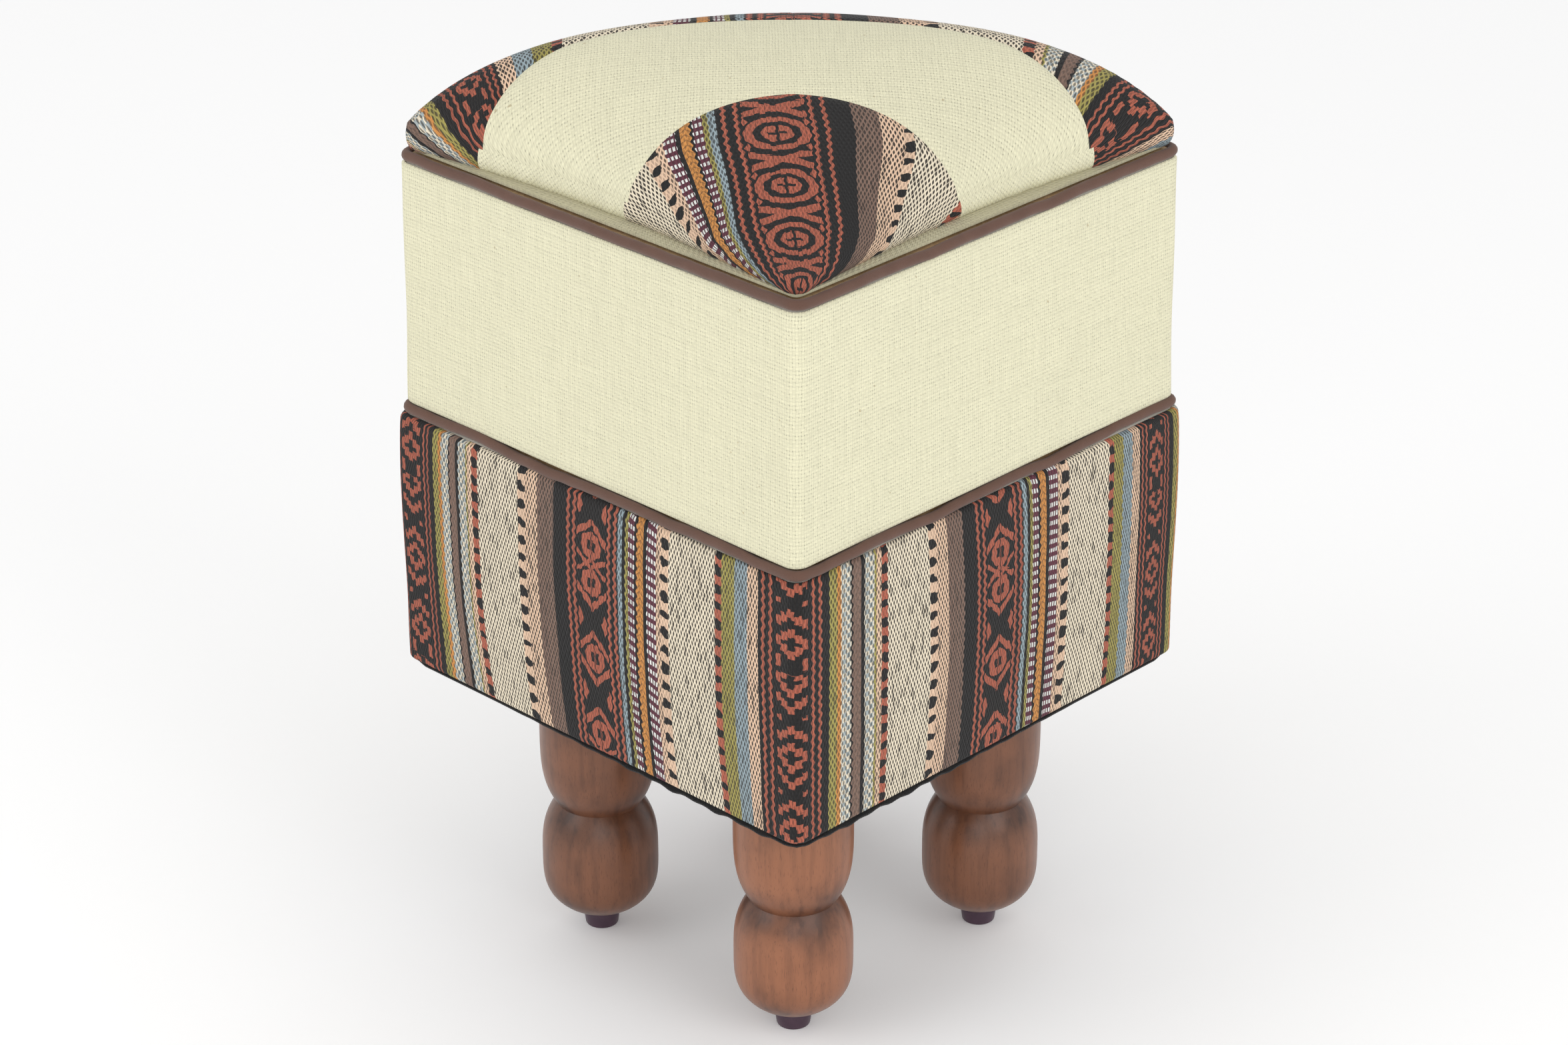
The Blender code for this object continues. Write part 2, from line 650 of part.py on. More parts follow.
def arch_disc(name, distance, radius):
    """An upright cylinder centred on the lid's diagonal, at a distance from its front corner."""
    centre = LID_CORNER - distance / math.sqrt(2)
    below = LID_BOTTOM - LID_CROWN_HEIGHT
    above = LID_BOTTOM + 2 * LID_CROWN_HEIGHT
    return add_cutter(name, cylinder_mesh(name, radius, below, above, CUTTER_SEGMENTS, (centre, -centre)))


def lid_covers(parent):
    """The three pieces that the lid's cover is sewn from: a patch at the front corner, an arch round it, the rest."""
    patch = arch_disc("patch_disc", PATCH_CENTRE, PATCH_RADIUS)
    patch_seam = arch_disc("patch_seam", PATCH_CENTRE, PATCH_RADIUS + GAP)
    arch = arch_disc("arch_disc", ARCH_CENTRE, ARCH_RADIUS)
    arch_seam = arch_disc("arch_seam", ARCH_CENTRE, ARCH_RADIUS + GAP)
    for name, material, cuts in (
        ("lid_front_patch", KILIM, ((patch, "INTERSECT"),)),
        ("lid_arch_band", CREAM, ((arch, "INTERSECT"), (patch_seam, "DIFFERENCE"))),
        ("lid_back_panel", KILIM, ((arch_seam, "DIFFERENCE"),)),
    ):
        cover = add_part(name, lid_cover_mesh(name), material, parent)
        shell = cover.modifiers.new("cloth", "SOLIDIFY")
        shell.thickness = LID_COVER_THICKNESS
        shell.offset = -1.0
        for cutter, operation in cuts:
            boolean(cover, cutter, operation)


def lid():
    """The loose lid: a crowned foam pad on a board, covered, with battens under it that keep it over the box."""
    lift = bpy.data.objects.new("lid_lift", None)
    lift.location = (0.0, 0.0, LID_BOTTOM)
    PARTS.objects.link(lift)
    bpy.context.view_layer.update()

    board = add_part("lid_board", plate_mesh("lid_board", LID_BOARD_BOTTOM, LID_BOARD_TOP), PLYWOOD, lift)

    bm = bmesh.new()
    edge = crown_surface(bm, LID_COVER_THICKNESS + 2 * GAP)
    bm.faces.new(lower_edge(bm, edge, LID_BOARD_TOP + GAP))
    add_part("lid_foam", to_mesh(bm, "lid_foam"), FOAM, lift)
    lid_covers(lift)

    cloth_mesh = plate_mesh("lid_under_cloth", LID_BOTTOM, LID_BOTTOM + UNDER_CLOTH_THICKNESS)
    cloth = add_part("lid_under_cloth", cloth_mesh, LINING, lift)

    batten_top = LID_BOTTOM - GAP
    batten_bottom = batten_top - BATTEN_DEPTH
    screw_tip = LID_BOARD_BOTTOM + SCREW_BITE
    screw_mesh = turned_mesh("batten_screw", screw_profile(batten_bottom, screw_tip))
    for side, degrees in SIDES.items():
        turned_to = Matrix.Rotation(math.radians(degrees), 4, "Z")
        name = f"lid_batten_{side}"
        middle = (BATTEN_FACE - BATTEN_WIDTH / 2, 0.0, (batten_top + batten_bottom) / 2)
        mesh = box_mesh(name, (BATTEN_WIDTH, BATTEN_LENGTH, BATTEN_DEPTH), middle)
        mesh.transform(turned_to)
        batten = add_part(name, mesh, PLYWOOD, lift)
        for end, offset in (("a", -SCREW_SPACING / 2), ("b", SCREW_SPACING / 2)):
            place = turned_to @ Vector((BATTEN_FACE - BATTEN_WIDTH / 2, offset, 0.0))
            screw = turn(add_part(f"batten_screw_{side}_{end}", screw_mesh, STEEL, lift), TINY_SEGMENTS)
            screw.location = place
            hole = screw_hole(f"screw_hole_{side}_{end}", place, batten_bottom, screw_tip)
            for pierced in (batten, cloth, board):
                boolean(pierced, hole)


def screw_profile(head_bottom, tip):
    """A countersunk screw that points up."""
    neck = head_bottom + SCREW_HEAD_HEIGHT
    return [
        (0.0, tip),
        (SCREW_SHANK_RADIUS, tip - SCREW_SHANK_RADIUS),
        (SCREW_SHANK_RADIUS, neck),
        (SCREW_HEAD_RADIUS, head_bottom + GAP),
        (0.0, head_bottom + GAP),
    ]


def screw_hole(name, place, head_bottom, tip):
    """A cutter for a countersunk hole that clears one screw all round."""
    neck = head_bottom + SCREW_HEAD_HEIGHT + GAP
    shank = SCREW_SHANK_RADIUS + GAP
    mouth = SCREW_HEAD_RADIUS + GAP
    below = head_bottom - BATTEN_DEPTH
    profile = [(0.0, tip + GAP), (shank, tip + GAP), (shank, neck), (mouth, head_bottom), (mouth, below), (0.0, below)]
    cutter = turn(add_cutter(name, turned_mesh(name, profile)), TINY_SEGMENTS)
    cutter.location = place
    return cutter


carcass_panels()
legs()
upholstery()
storage_lining()
dust_cover()
lid()
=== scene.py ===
"""Looks of a square storage footstool: cloth bands round a box on turned legs, with a loose padded lid.

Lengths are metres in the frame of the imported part: +Z up, floor at zero, and the corner at (+X, -Y) in front.
"""

import logging
import math
from dataclasses import dataclass
from enum import Enum, IntEnum
from typing import Callable, Dict, List, Optional, Sequence, Tuple, Union

import bmesh
import bpy
import numpy as np
from mathutils import Matrix, Vector


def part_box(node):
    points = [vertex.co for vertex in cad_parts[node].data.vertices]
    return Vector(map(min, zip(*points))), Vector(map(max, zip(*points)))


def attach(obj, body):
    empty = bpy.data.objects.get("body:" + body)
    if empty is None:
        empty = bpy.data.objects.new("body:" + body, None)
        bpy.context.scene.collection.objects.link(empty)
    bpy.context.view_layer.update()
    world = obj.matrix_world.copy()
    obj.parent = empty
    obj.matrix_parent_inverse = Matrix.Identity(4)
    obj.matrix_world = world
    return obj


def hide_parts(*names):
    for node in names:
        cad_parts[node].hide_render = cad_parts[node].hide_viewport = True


Piece = bpy.types.Object
Material = bpy.types.Material
Tree = bpy.types.NodeTree
Node = bpy.types.Node
Socket = bpy.types.NodeSocket
Array = np.ndarray
Rgb = Tuple[float, float, float]
Number = Union[float, "Signal"]
Pair = Tuple[float, float]
Knots = Tuple[Pair, ...]
Section = Sequence[Tuple[float, float, float]]
Waver = Callable[[Array, Array], Array]

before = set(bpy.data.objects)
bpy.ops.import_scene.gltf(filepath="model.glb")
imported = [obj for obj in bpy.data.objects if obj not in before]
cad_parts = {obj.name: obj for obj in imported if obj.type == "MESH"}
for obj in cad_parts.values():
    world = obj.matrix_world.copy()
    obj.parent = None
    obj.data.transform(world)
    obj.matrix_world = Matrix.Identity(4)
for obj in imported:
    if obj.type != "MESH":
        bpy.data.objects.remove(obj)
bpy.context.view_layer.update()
LOG = logging.getLogger("footstool")
CLOTH_MAP = "cloth"
PLACES = ("front_right", "front_left", "back_right", "back_left")
SIDES = ("front", "right", "back", "left")
SCREW_ENDS = ("a", "b")
WEAVE_CODES = 8.0
CRISP_ANGLE = 60.0
TURNED_CRISP_ANGLE = 35.0
JOIN_DISTANCE = 0.000004
TINY = 1e-9


class Body(str, Enum):
    """The two bodies that pieces ride on."""

    CARCASS = "carcass"
    LID = "lid"


class Slot(str, Enum):
    """The record's material slots."""

    PLYWOOD = "plywood"
    WOOD = "turned_wood"
    KILIM = "kilim_cloth"
    CREAM = "cream_cloth"
    PIPING = "piping_cloth"
    LINING = "lining_cloth"
    DUST = "dust_cloth"
    WADDING = "wadding"
    FOAM = "foam"
    GLIDE = "glide_plastic"
    STEEL = "steel"


class Yarn(Enum):
    """Dyed yarns of the kilim, as screen colours from 0 to 255."""

    BLACK = (27, 25, 25)
    RUST = (178, 97, 75)
    OLIVE = (160, 150, 82)
    BLUE = (148, 164, 170)
    PEACH = (228, 194, 165)
    WHITE = (230, 232, 226)
    BROWN = (128, 103, 90)
    OCHRE = (206, 141, 74)
    MAROON = (95, 46, 60)
    CREAM = (234, 221, 196)


class Weave(Enum):
    """How a stripe's second yarn shows in the first."""

    PLAIN = 0
    DASH = 1
    TWIST = 2
    CHAIN = 3
    PICKS = 4
    NARROW = 5
    WIDE = 6


class Zone(IntEnum):
    """The sewn pieces of the lid's cover from the front, and its hanging edge, which they share."""

    PATCH = 0
    ARCH = 1
    BACK = 2
    SKIRT = 3


def linear(colour: Sequence[float]) -> Tuple[float, float, float, float]:
    """Turn a screen colour into the renderer's.

    Args:
        colour: Red, green and blue from 0 to 255.

    Returns:
        Linear red, green, blue and a full alpha.
    """
    shares = [part / 255 for part in colour]
    red, green, blue = [s / 12.92 if s <= 0.04045 else ((s + 0.055) / 1.055) ** 2.4 for s in shares]
    return (red, green, blue, 1.0)


class Signal:
    """A value in a node tree, which arithmetic extends with Math nodes."""

    def __init__(self, tree: Tree, socket: Socket) -> None:
        """Wrap a node's output socket."""
        self.tree = tree
        self.socket = socket

    def calculate(self, operation: str, *others: Number) -> "Signal":
        """Add a Math node.

        Args:
            operation: The node's operation.
            others: Its further inputs, numbers or signals.

        Returns:
            The node's result.
        """
        node = self.tree.nodes.new("ShaderNodeMath")
        node.operation = operation
        for entry, value in zip(node.inputs, (self, *others)):
            feed(self.tree, entry, value)
        return Signal(self.tree, node.outputs[0])

    def __add__(self, other: Number) -> "Signal":
        """Sum."""
        return self.calculate("ADD", other)

    __radd__ = __add__

    def __sub__(self, other: Number) -> "Signal":
        """Difference."""
        return self.calculate("SUBTRACT", other)

    def __rsub__(self, other: Number) -> "Signal":
        """Difference from a number."""
        return (self * -1.0) + other

    def __mul__(self, other: Number) -> "Signal":
        """Product."""
        return self.calculate("MULTIPLY", other)

    __rmul__ = __mul__

    def __truediv__(self, other: Number) -> "Signal":
        """Quotient."""
        return self.calculate("DIVIDE", other)

    def __abs__(self) -> "Signal":
        """Size without sign."""
        return self.calculate("ABSOLUTE")

    def floor(self) -> "Signal":
        """Whole part, rounded down."""
        return self.calculate("FLOOR")

    def fract(self) -> "Signal":
        """What is left after the whole part."""
        return self.calculate("FRACT")

    def sine(self) -> "Signal":
        """Sine of an angle in radians."""
        return self.calculate("SINE")

    def above(self, limit: Number) -> "Signal":
        """One where the value is over a limit, else zero."""
        return self.calculate("GREATER_THAN", limit)

    def below(self, limit: Number) -> "Signal":
        """One where the value is under a limit, else zero."""
        return self.calculate("LESS_THAN", limit)

    def near(self, middle: Number, reach: Number) -> "Signal":
        """One within a reach of a middle value, else zero."""
        return self.calculate("COMPARE", middle, reach)

    def either(self, other: Number) -> "Signal":
        """The larger of two values."""
        return self.calculate("MAXIMUM", other)

    def fold(self, length: float) -> "Signal":
        """Run from zero to a length and back again."""
        return self.calculate("PINGPONG", length)

    def parity(self) -> "Signal":
        """Zero for even whole numbers and one for odd ones."""
        return self.calculate("FLOORED_MODULO", 2.0)

    def ease(self, low: float, high: float, start: float = 0.0, end: float = 1.0) -> "Signal":
        """Pass smoothly from one value to another.

        Args:
            low: Where the passage starts.
            high: Where it ends.
            start: The result up to low.
            end: The result from high.

        Returns:
            The eased value.
        """
        node = self.tree.nodes.new("ShaderNodeMapRange")
        node.interpolation_type = "SMOOTHSTEP"
        for entry, value in zip(node.inputs, (self, low, high, start, end)):
            feed(self.tree, entry, value)
        return Signal(self.tree, node.outputs[0])


def feed(tree: Tree, entry: Socket, value: object) -> None:
    """Give a node's input a signal, a socket or a plain value.

    Args:
        tree: The node tree.
        entry: The input socket.
        value: What it takes.
    """
    if isinstance(value, Signal):
        tree.links.new(value.socket, entry)
    elif isinstance(value, Socket):
        tree.links.new(value, entry)
    else:
        entry.default_value = value


class Surface:
    """A material under construction on one Principled BSDF."""

    def __init__(self, name: str, roughness: float, sheen: float = 0.0, metallic: float = 0.0) -> None:
        """Start a material.

        Args:
            name: The material's name.
            roughness: Its even roughness.
            sheen: The strength of its cloth sheen.
            metallic: One for bare metal.
        """
        self.material = bpy.data.materials.new(name)
        self.material.use_nodes = True
        self.tree = self.material.node_tree
        self.shader = self.tree.nodes["Principled BSDF"]
        self.give(Roughness=roughness, Metallic=metallic, Sheen_Weight=sheen, Sheen_Roughness=0.5)

    def give(self, **values: object) -> None:
        """Set the shader's own inputs, named with spaces as underscores."""
        for name, value in values.items():
            feed(self.tree, self.shader.inputs[name.replace("_", " ")], value)

    def node(self, kind: str, **values: object) -> Node:
        """Add a node and feed its inputs, named with spaces as underscores."""
        node = self.tree.nodes.new(kind)
        for name, value in values.items():
            feed(self.tree, node.inputs[name.replace("_", " ")], value)
        return node

    def signal(self, socket: Socket) -> Signal:
        """A socket of this tree as a signal."""
        return Signal(self.tree, socket)

    def split(self, socket: Socket) -> List[Signal]:
        """The three parts of a vector socket."""
        return [self.signal(output) for output in self.node("ShaderNodeSeparateXYZ", Vector=socket).outputs]

    def cloth(self) -> Tuple[Signal, Signal]:
        """Places on the piece's own cloth map, in metres across and along."""
        node = self.node("ShaderNodeUVMap")
        node.uv_map = CLOTH_MAP
        across, along, _ = self.split(node.outputs["UV"])
        return across, along

    def place(self) -> List[Signal]:
        """Places in the frame, in metres."""
        return self.split(self.node("ShaderNodeTexCoord").outputs["Object"])

    def noise(self, parts: Sequence[Number], scale: float, detail: float = 2.0) -> Signal:
        """Smooth noise.

        Args:
            parts: The place, two or three values.
            scale: Its fineness.
            detail: How many finer layers it has.

        Returns:
            The noise, about 0 to 1 round a half.
        """
        node = self.node("ShaderNodeTexNoise", Vector=self.join(parts), Scale=scale, Detail=detail)
        return self.signal(node.outputs[0])

    def chance(self, *parts: Number) -> Signal:
        """An even random number for each whole place."""
        node = self.node("ShaderNodeTexWhiteNoise", Vector=self.join(parts))
        return self.signal(node.outputs["Value"])

    def join(self, parts: Sequence[Number]) -> Socket:
        """Two or three values as one vector."""
        return self.node("ShaderNodeCombineXYZ", **dict(zip("XYZ", parts))).outputs[0]

    def blend(self, share: Number, first: object, second: object, method: str = "MIX") -> Socket:
        """Mix two colours.

        Args:
            share: How much of the second shows.
            first: A colour or socket.
            second: A colour or socket.
            method: The way of mixing.

        Returns:
            The mixed colour.
        """
        node = self.tree.nodes.new("ShaderNodeMix")
        node.data_type = "RGBA"
        node.blend_type = method
        for index, value in ((0, share), (6, first), (7, second)):
            feed(self.tree, node.inputs[index], value)
        return node.outputs[2]

    def parts(self, colour: Socket) -> List[Signal]:
        """The red, green and blue of a colour."""
        return [self.signal(output) for output in self.node("ShaderNodeSeparateColor", Color=colour).outputs]

    def shade(self, tone: Signal, colour: object) -> Socket:
        """Make a colour lighter or darker by a tone round one."""
        return self.blend(1.0, colour, self.join((tone, tone, tone)), "MULTIPLY")

    def ramp(self, share: Signal, stops: Sequence[Tuple[float, Sequence[float]]]) -> Socket:
        """Choose a colour by steps.

        Args:
            share: Where to look, from 0 to 1.
            stops: Each step's start and colour.

        Returns:
            The colour.
        """
        node = self.node("ShaderNodeValToRGB", Fac=share)
        steps = node.color_ramp
        steps.interpolation = "CONSTANT"
        steps.elements[0].color = stops[0][1]
        steps.elements[1].position = stops[1][0]
        steps.elements[1].color = stops[1][1]
        for position, colour in stops[2:]:
            steps.elements.new(position).color = colour
        return node.outputs[0]

    def done(
        self, colour: object, height: Optional[Signal] = None, depth: float = 0.0005, strength: float = 0.6
    ) -> Material:
        """Connect what was made.

        Args:
            colour: The base colour.
            height: The relief, from 0 to 1.
            depth: The relief's depth in metres.
            strength: How much of it shows.

        Returns:
            The finished material.
        """
        self.give(Base_Color=colour)
        if height is not None:
            bump = self.node("ShaderNodeBump", Height=height, Strength=strength, Distance=depth)
            self.give(Normal=bump.outputs[0])
        return self.material


@dataclass(frozen=True)
class Stripe:
    """One stripe of the kilim, from left to right on the stool's faces."""

    width: float
    weave: Weave
    ground: Yarn
    figure: Yarn
    slits: float = 0.0


@dataclass(frozen=True)
class NarrowSizes:
    """Sizes of the narrow figures in metres. A pair is a middle and the reach on either side of it."""

    ring_reach: float = 0.0066
    ring_taper: float = 0.0030
    ring_stroke: float = 0.0024
    notch: Pair = (-0.0030, 0.0036)
    arm: Pair = (-0.0010, 0.0036)
    outer_column: Pair = (2.0, 0.4)
    chevron: Pair = (0.0062, 0.0023)
    chevron_slope: float = 0.0026
    dot: float = 0.0014
    edge: float = 0.0096


@dataclass(frozen=True)
class WideSizes:
    """Sizes of the wide figures in metres. A pair is a middle and its reach, or two half sizes."""

    eye_half: Pair = (0.0076, 0.0080)
    pupil: Pair = (0.0018, 0.0012)
    pupil_height: float = 0.0029
    arm_elbow: float = 0.0035
    arm_slope: float = 0.75
    arm_stroke: float = 0.0015
    arm_end: float = 0.0112
    roof: Pair = (0.0080, 0.0023)
    roof_slope: float = 0.92
    roof_end: float = 0.0114
    leaf_middle: float = 0.0100
    leaf_half: Pair = (0.0028, 0.0062)
    ground: Pair = (0.0058, 0.0055)


@dataclass(frozen=True)
class Kilim:
    """A flat-woven wool cloth of upright stripes, two of them with figures."""

    name: str
    wide_width: float = 0.0406
    wide_lines: Pair = (0.0135, 0.0182)
    wide_phase: float = 0.0742
    narrow_width: float = 0.0476
    narrow_middle: float = 0.0226
    narrow_lines: Pair = (0.0138, 0.0190)
    narrow_phase: float = 0.0702
    paired_half: float = 0.0335
    single_half: float = 0.0225
    trim: Tuple[float, float, float] = (0.0025, 0.0025, 0.0025)
    braid_width: float = 0.0099
    yarn_pitch: float = 0.00115
    yarn_wave: float = 0.0054
    yarn_sway: float = 0.34
    stroke_pitch: float = 0.0021
    line_reach: float = 0.0010
    knot_pitch: float = 0.0105
    knot_slant: float = 0.06
    braid_half: float = 0.0025
    braid_length: float = 0.0037
    pick_pitch: float = 0.0020
    pick_length: float = 0.0055
    pick_slant: float = 0.16
    wander: Pair = (0.0016, 0.0040)
    edge_wave: float = 0.0003
    ragged_length: float = 0.014
    ragged_ends: float = 0.0016
    drift_reach: float = 0.0012
    tone_length: float = 0.03
    shadow: Rgb = (42, 36, 31)
    narrow_sizes: NarrowSizes = NarrowSizes()
    wide_sizes: WideSizes = WideSizes()

    def stripes(self) -> List[Stripe]:
        """The stripes of one repeat, from the left edge of the narrow figures."""
        y, w = Yarn, Weave
        rows = (
            (self.narrow_width, w.NARROW, y.BLACK, y.RUST),
            (0.0053, w.PLAIN, y.OLIVE, y.OLIVE, 0.7),
            (0.0015, w.PLAIN, y.OCHRE, y.OCHRE, 0.5),
            (0.0067, w.TWIST, y.BLUE, y.CREAM, 0.6),
            (0.0075, w.CHAIN, y.BLACK, y.BROWN, 0.25),
            (0.0058, w.TWIST, y.BLUE, y.CREAM, 0.6),
            (0.0023, w.PLAIN, y.OLIVE, y.OLIVE, 0.7),
            (0.0025, w.PLAIN, y.PEACH, y.PEACH, 0.8),
            (0.0057, w.DASH, y.RUST, y.BLACK),
            (0.0323, w.PLAIN, y.CREAM, y.CREAM, 1.0),
            (0.0058, w.DASH, y.PEACH, y.BLACK),
            (0.0103, w.PLAIN, y.PEACH, y.PEACH, 1.0),
            (0.0128, w.PLAIN, y.BROWN, y.BROWN, 0.8),
            (0.0103, w.PLAIN, y.BLACK, y.BLACK),
            (self.wide_width, w.WIDE, y.BLACK, y.RUST),
            (self.trim[0], w.PLAIN, y.BLUE, y.BLUE, 0.7),
            (self.trim[1], w.PLAIN, y.BLACK, y.BLACK),
            (self.trim[2], w.PLAIN, y.OLIVE, y.OLIVE, 0.7),
            (0.0049, w.PICKS, y.MAROON, y.WHITE),
            (self.braid_width, w.CHAIN, y.BLACK, y.OCHRE, 0.55),
            (0.0068, w.PICKS, y.MAROON, y.WHITE),
            (0.0034, w.PLAIN, y.PEACH, y.PEACH, 0.8),
            (0.0058, w.DASH, y.PEACH, y.BLACK),
            (0.0342, w.PLAIN, y.CREAM, y.CREAM, 1.0),
            (0.0052, w.DASH, y.RUST, y.BLACK),
            (0.0093, w.PLAIN, y.OLIVE, y.OLIVE, 0.8),
            (0.0092, w.PLAIN, y.BLUE, y.BLUE, 0.8),
            (0.0089, w.PLAIN, y.PEACH, y.PEACH, 1.0),
        )
        return [Stripe(*row) for row in rows]

    def starts(self) -> List[float]:
        """Where each stripe starts, from the left edge of the narrow figures, with the repeat at the end."""
        places = [0.0]
        for stripe in self.stripes():
            places.append(places[-1] + stripe.width)
        return places

    def middles(self) -> List[float]:
        """The line that each stripe's figure lies on, from the left edge of the narrow figures."""
        starts = self.starts()
        halves = [(first + second) / 2 for first, second in zip(starts, starts[1:])]
        return [self.narrow_middle, *halves[1:]]

    def middle_of(self, weave: Weave) -> float:
        """The figure line of the first stripe of a weave, from the narrow figures' middle."""
        index = [stripe.weave for stripe in self.stripes()].index(weave)
        return self.middles()[index] - self.narrow_middle

    def repeat(self) -> float:
        """The width of one repeat."""
        return self.starts()[-1]

    def figure_rows(self, height: Signal) -> Tuple[Signal, Signal]:
        """Find a place among the figures, which stand in pairs and singly by turns.

        Args:
            height: Height on the cloth.

        Returns:
            Distance from the nearest line between figures, and height over the middle of a pair.
        """
        period = 2 * (self.paired_half + self.single_half)
        place = (height / period).fract() * period
        rise = place - self.paired_half
        single = self.single_half - abs(place - (2 * self.paired_half + self.single_half))
        return (self.paired_half - abs(rise)).either(single), rise

    def narrow_figure(self, x: Signal, height: Signal) -> Signal:
        """Rings, chevrons and dots, built up from upright strokes.

        Args:
            x: Distance from the figure's middle line.
            height: Height on the cloth.

        Returns:
            One where the figure's yarn shows.
        """
        sizes = self.narrow_sizes
        line, rise = self.figure_rows(height + self.narrow_phase)
        column = (x / (2 * self.stroke_pitch)).calculate("ROUND")
        outer = column.near(*sizes.outer_column)
        reach = sizes.ring_reach - column * sizes.ring_taper
        ring = abs(abs(line - self.single_half) - reach).below(sizes.ring_stroke)
        ring = ring * (1.0 - rise.near(*sizes.notch))
        arm = rise.near(*sizes.arm) * outer
        chevron = (line - column * sizes.chevron_slope).near(*sizes.chevron)
        dots = line.below(sizes.dot) * outer
        return ring.either(arm).either(chevron).either(dots) * x.below(sizes.edge)

    def wide_figure(self, x: Signal, height: Signal) -> Signal:
        """Eyes under roofs, with crossed arms between a pair of them and leaves at the sides.

        Args:
            x: Distance from the figure's middle line.
            height: Height on the cloth.

        Returns:
            One where the figure's yarn shows.
        """
        sizes = self.wide_sizes
        line, rise = self.figure_rows(height + self.wide_phase)
        off = abs(line - self.single_half)
        across, along = x / sizes.eye_half[0], off / sizes.eye_half[1]
        eye = (across * across + along * along).below(1.0)
        pupil = x.near(*sizes.pupil) * off.below(sizes.pupil_height)
        bend = abs(x - sizes.arm_elbow) * sizes.arm_slope - abs(rise)
        arm = bend.near(0.0, sizes.arm_stroke) * x.below(sizes.arm_end)
        roof = (line - x * sizes.roof_slope).near(*sizes.roof) * x.below(sizes.roof_end)
        leaf = (abs(x - sizes.leaf_middle) / sizes.leaf_half[0] + line / sizes.leaf_half[1]).below(1.0)
        figure = (eye * (1.0 - pupil)).either(arm).either(roof).either(leaf)
        return figure * x.near(*sizes.ground)

    def material(self) -> Material:
        """Build the cloth's material on the piece's cloth map."""
        surface = Surface(self.name, roughness=0.95, sheen=0.05)
        u, v = surface.cloth()
        u = u + (surface.noise((u, v), 30.0) - 0.5) * self.wander[0]
        v = v + (surface.noise((v, u), 30.0) - 0.5) * self.wander[1]

        yarn = (u / self.yarn_pitch).floor()
        wave = v * (2 * math.pi / self.yarn_wave)
        swing = (wave + yarn.parity() * math.pi + surface.chance(yarn, 0.0) * 0.7).sine()
        off = abs((u / self.yarn_pitch).fract() - 0.5 - swing * self.yarn_sway)
        slit = off.ease(0.33, 0.49)
        fleck = surface.chance(yarn, (v / self.yarn_wave + yarn * 0.5).floor()).above(0.91)
        slit = slit.either(fleck * off.ease(0.06, 0.26))

        repeat = self.repeat()
        ripple = wave.sine() * self.edge_wave
        share = ((u + ripple + self.narrow_middle) / repeat).fract()
        places = [start / repeat for start in self.starts()]
        rows = list(zip(places, self.stripes(), self.middles()))
        ground = surface.ramp(share, [(place, linear(row.ground.value)) for place, row, _ in rows])
        figure = surface.ramp(share, [(place, linear(row.figure.value)) for place, row, _ in rows])
        codes = [(row.weave.value / WEAVE_CODES, row.slits, line / repeat, 1.0) for _, row, line in rows]
        facts = surface.ramp(share, list(zip(places, codes)))
        code, open_share, middle = surface.parts(facts)
        code = code * WEAVE_CODES
        local = (share - middle) * repeat
        aside = abs(local)

        drift = surface.noise((u, v), 160.0) - 0.5
        knot = (v + local * self.knot_slant) / self.knot_pitch + drift * 0.6
        knot_half = surface.chance(knot.floor(), code) * 0.15 + 0.19 - aside * aside * 9000.0
        dash = abs(knot.fract() - 0.5).below(knot_half)
        twist = ((v * 2.0 / self.yarn_wave).floor() + (yarn * 0.5).floor()).parity() * 0.75 + 0.15
        chain = aside.below(ripple + self.braid_half)
        chevron = ((v + aside * 0.9) / self.braid_length).fract().ease(0.60, 0.95)
        pick = u / self.pick_pitch
        picks = ((v + u * self.pick_slant) / self.pick_length + drift * 0.2).fract().below(0.48)
        picks = picks * abs(pick.fract() - 0.5).below(0.31)

        stroke = u / self.stroke_pitch
        uneven = surface.chance(stroke.floor(), (v / self.ragged_length).floor()) - 0.5
        ragged = uneven * self.ragged_ends + drift * self.drift_reach
        narrow = self.narrow_figure(aside, v + ragged)
        wide = self.wide_figure(aside, v + ragged)
        side = abs(local + ripple + drift * self.drift_reach)
        for inner, outer in zip(self.narrow_lines, self.wide_lines):
            narrow = narrow.either(side.near(inner, self.line_reach))
            wide = wide.either(side.near(outer, self.line_reach))

        figured = code.above(Weave.NARROW.value - 0.5)
        braided = code.near(Weave.CHAIN.value, 0.2)
        mask = code.near(Weave.DASH.value, 0.2) * dash
        others = (Weave.TWIST, Weave.CHAIN, Weave.PICKS, Weave.NARROW, Weave.WIDE)
        for weave, shown in zip(others, (twist, chain, picks, narrow, wide)):
            mask = mask + code.near(weave.value, 0.2) * shown

        fibre = surface.noise((u, v * 0.4), 1300.0, 3.0)
        shade = surface.chance(yarn, (v / self.tone_length).floor()) * 0.16 + fibre * 0.50 + 0.65
        # Painted shade: each yarn darkens towards its edges, as a rounded yarn would under light.
        tone = shade * off.ease(0.15, 0.55, 1.0, 0.80)
        wool = surface.shade(tone, surface.blend(mask, ground, figure))
        seam = abs(stroke.fract() - 0.5).ease(0.36, 0.49) * figured * 0.50
        opening = slit + (chevron - slit) * braided
        gap = (opening * open_share).either(seam)
        colour = surface.blend(gap * 0.96, wool, linear(self.shadow))
        roundness = 1.0 - off * off * 2.4
        return surface.done(colour, roundness - gap * 0.5 + fibre * 0.5, depth=0.0008, strength=0.7)


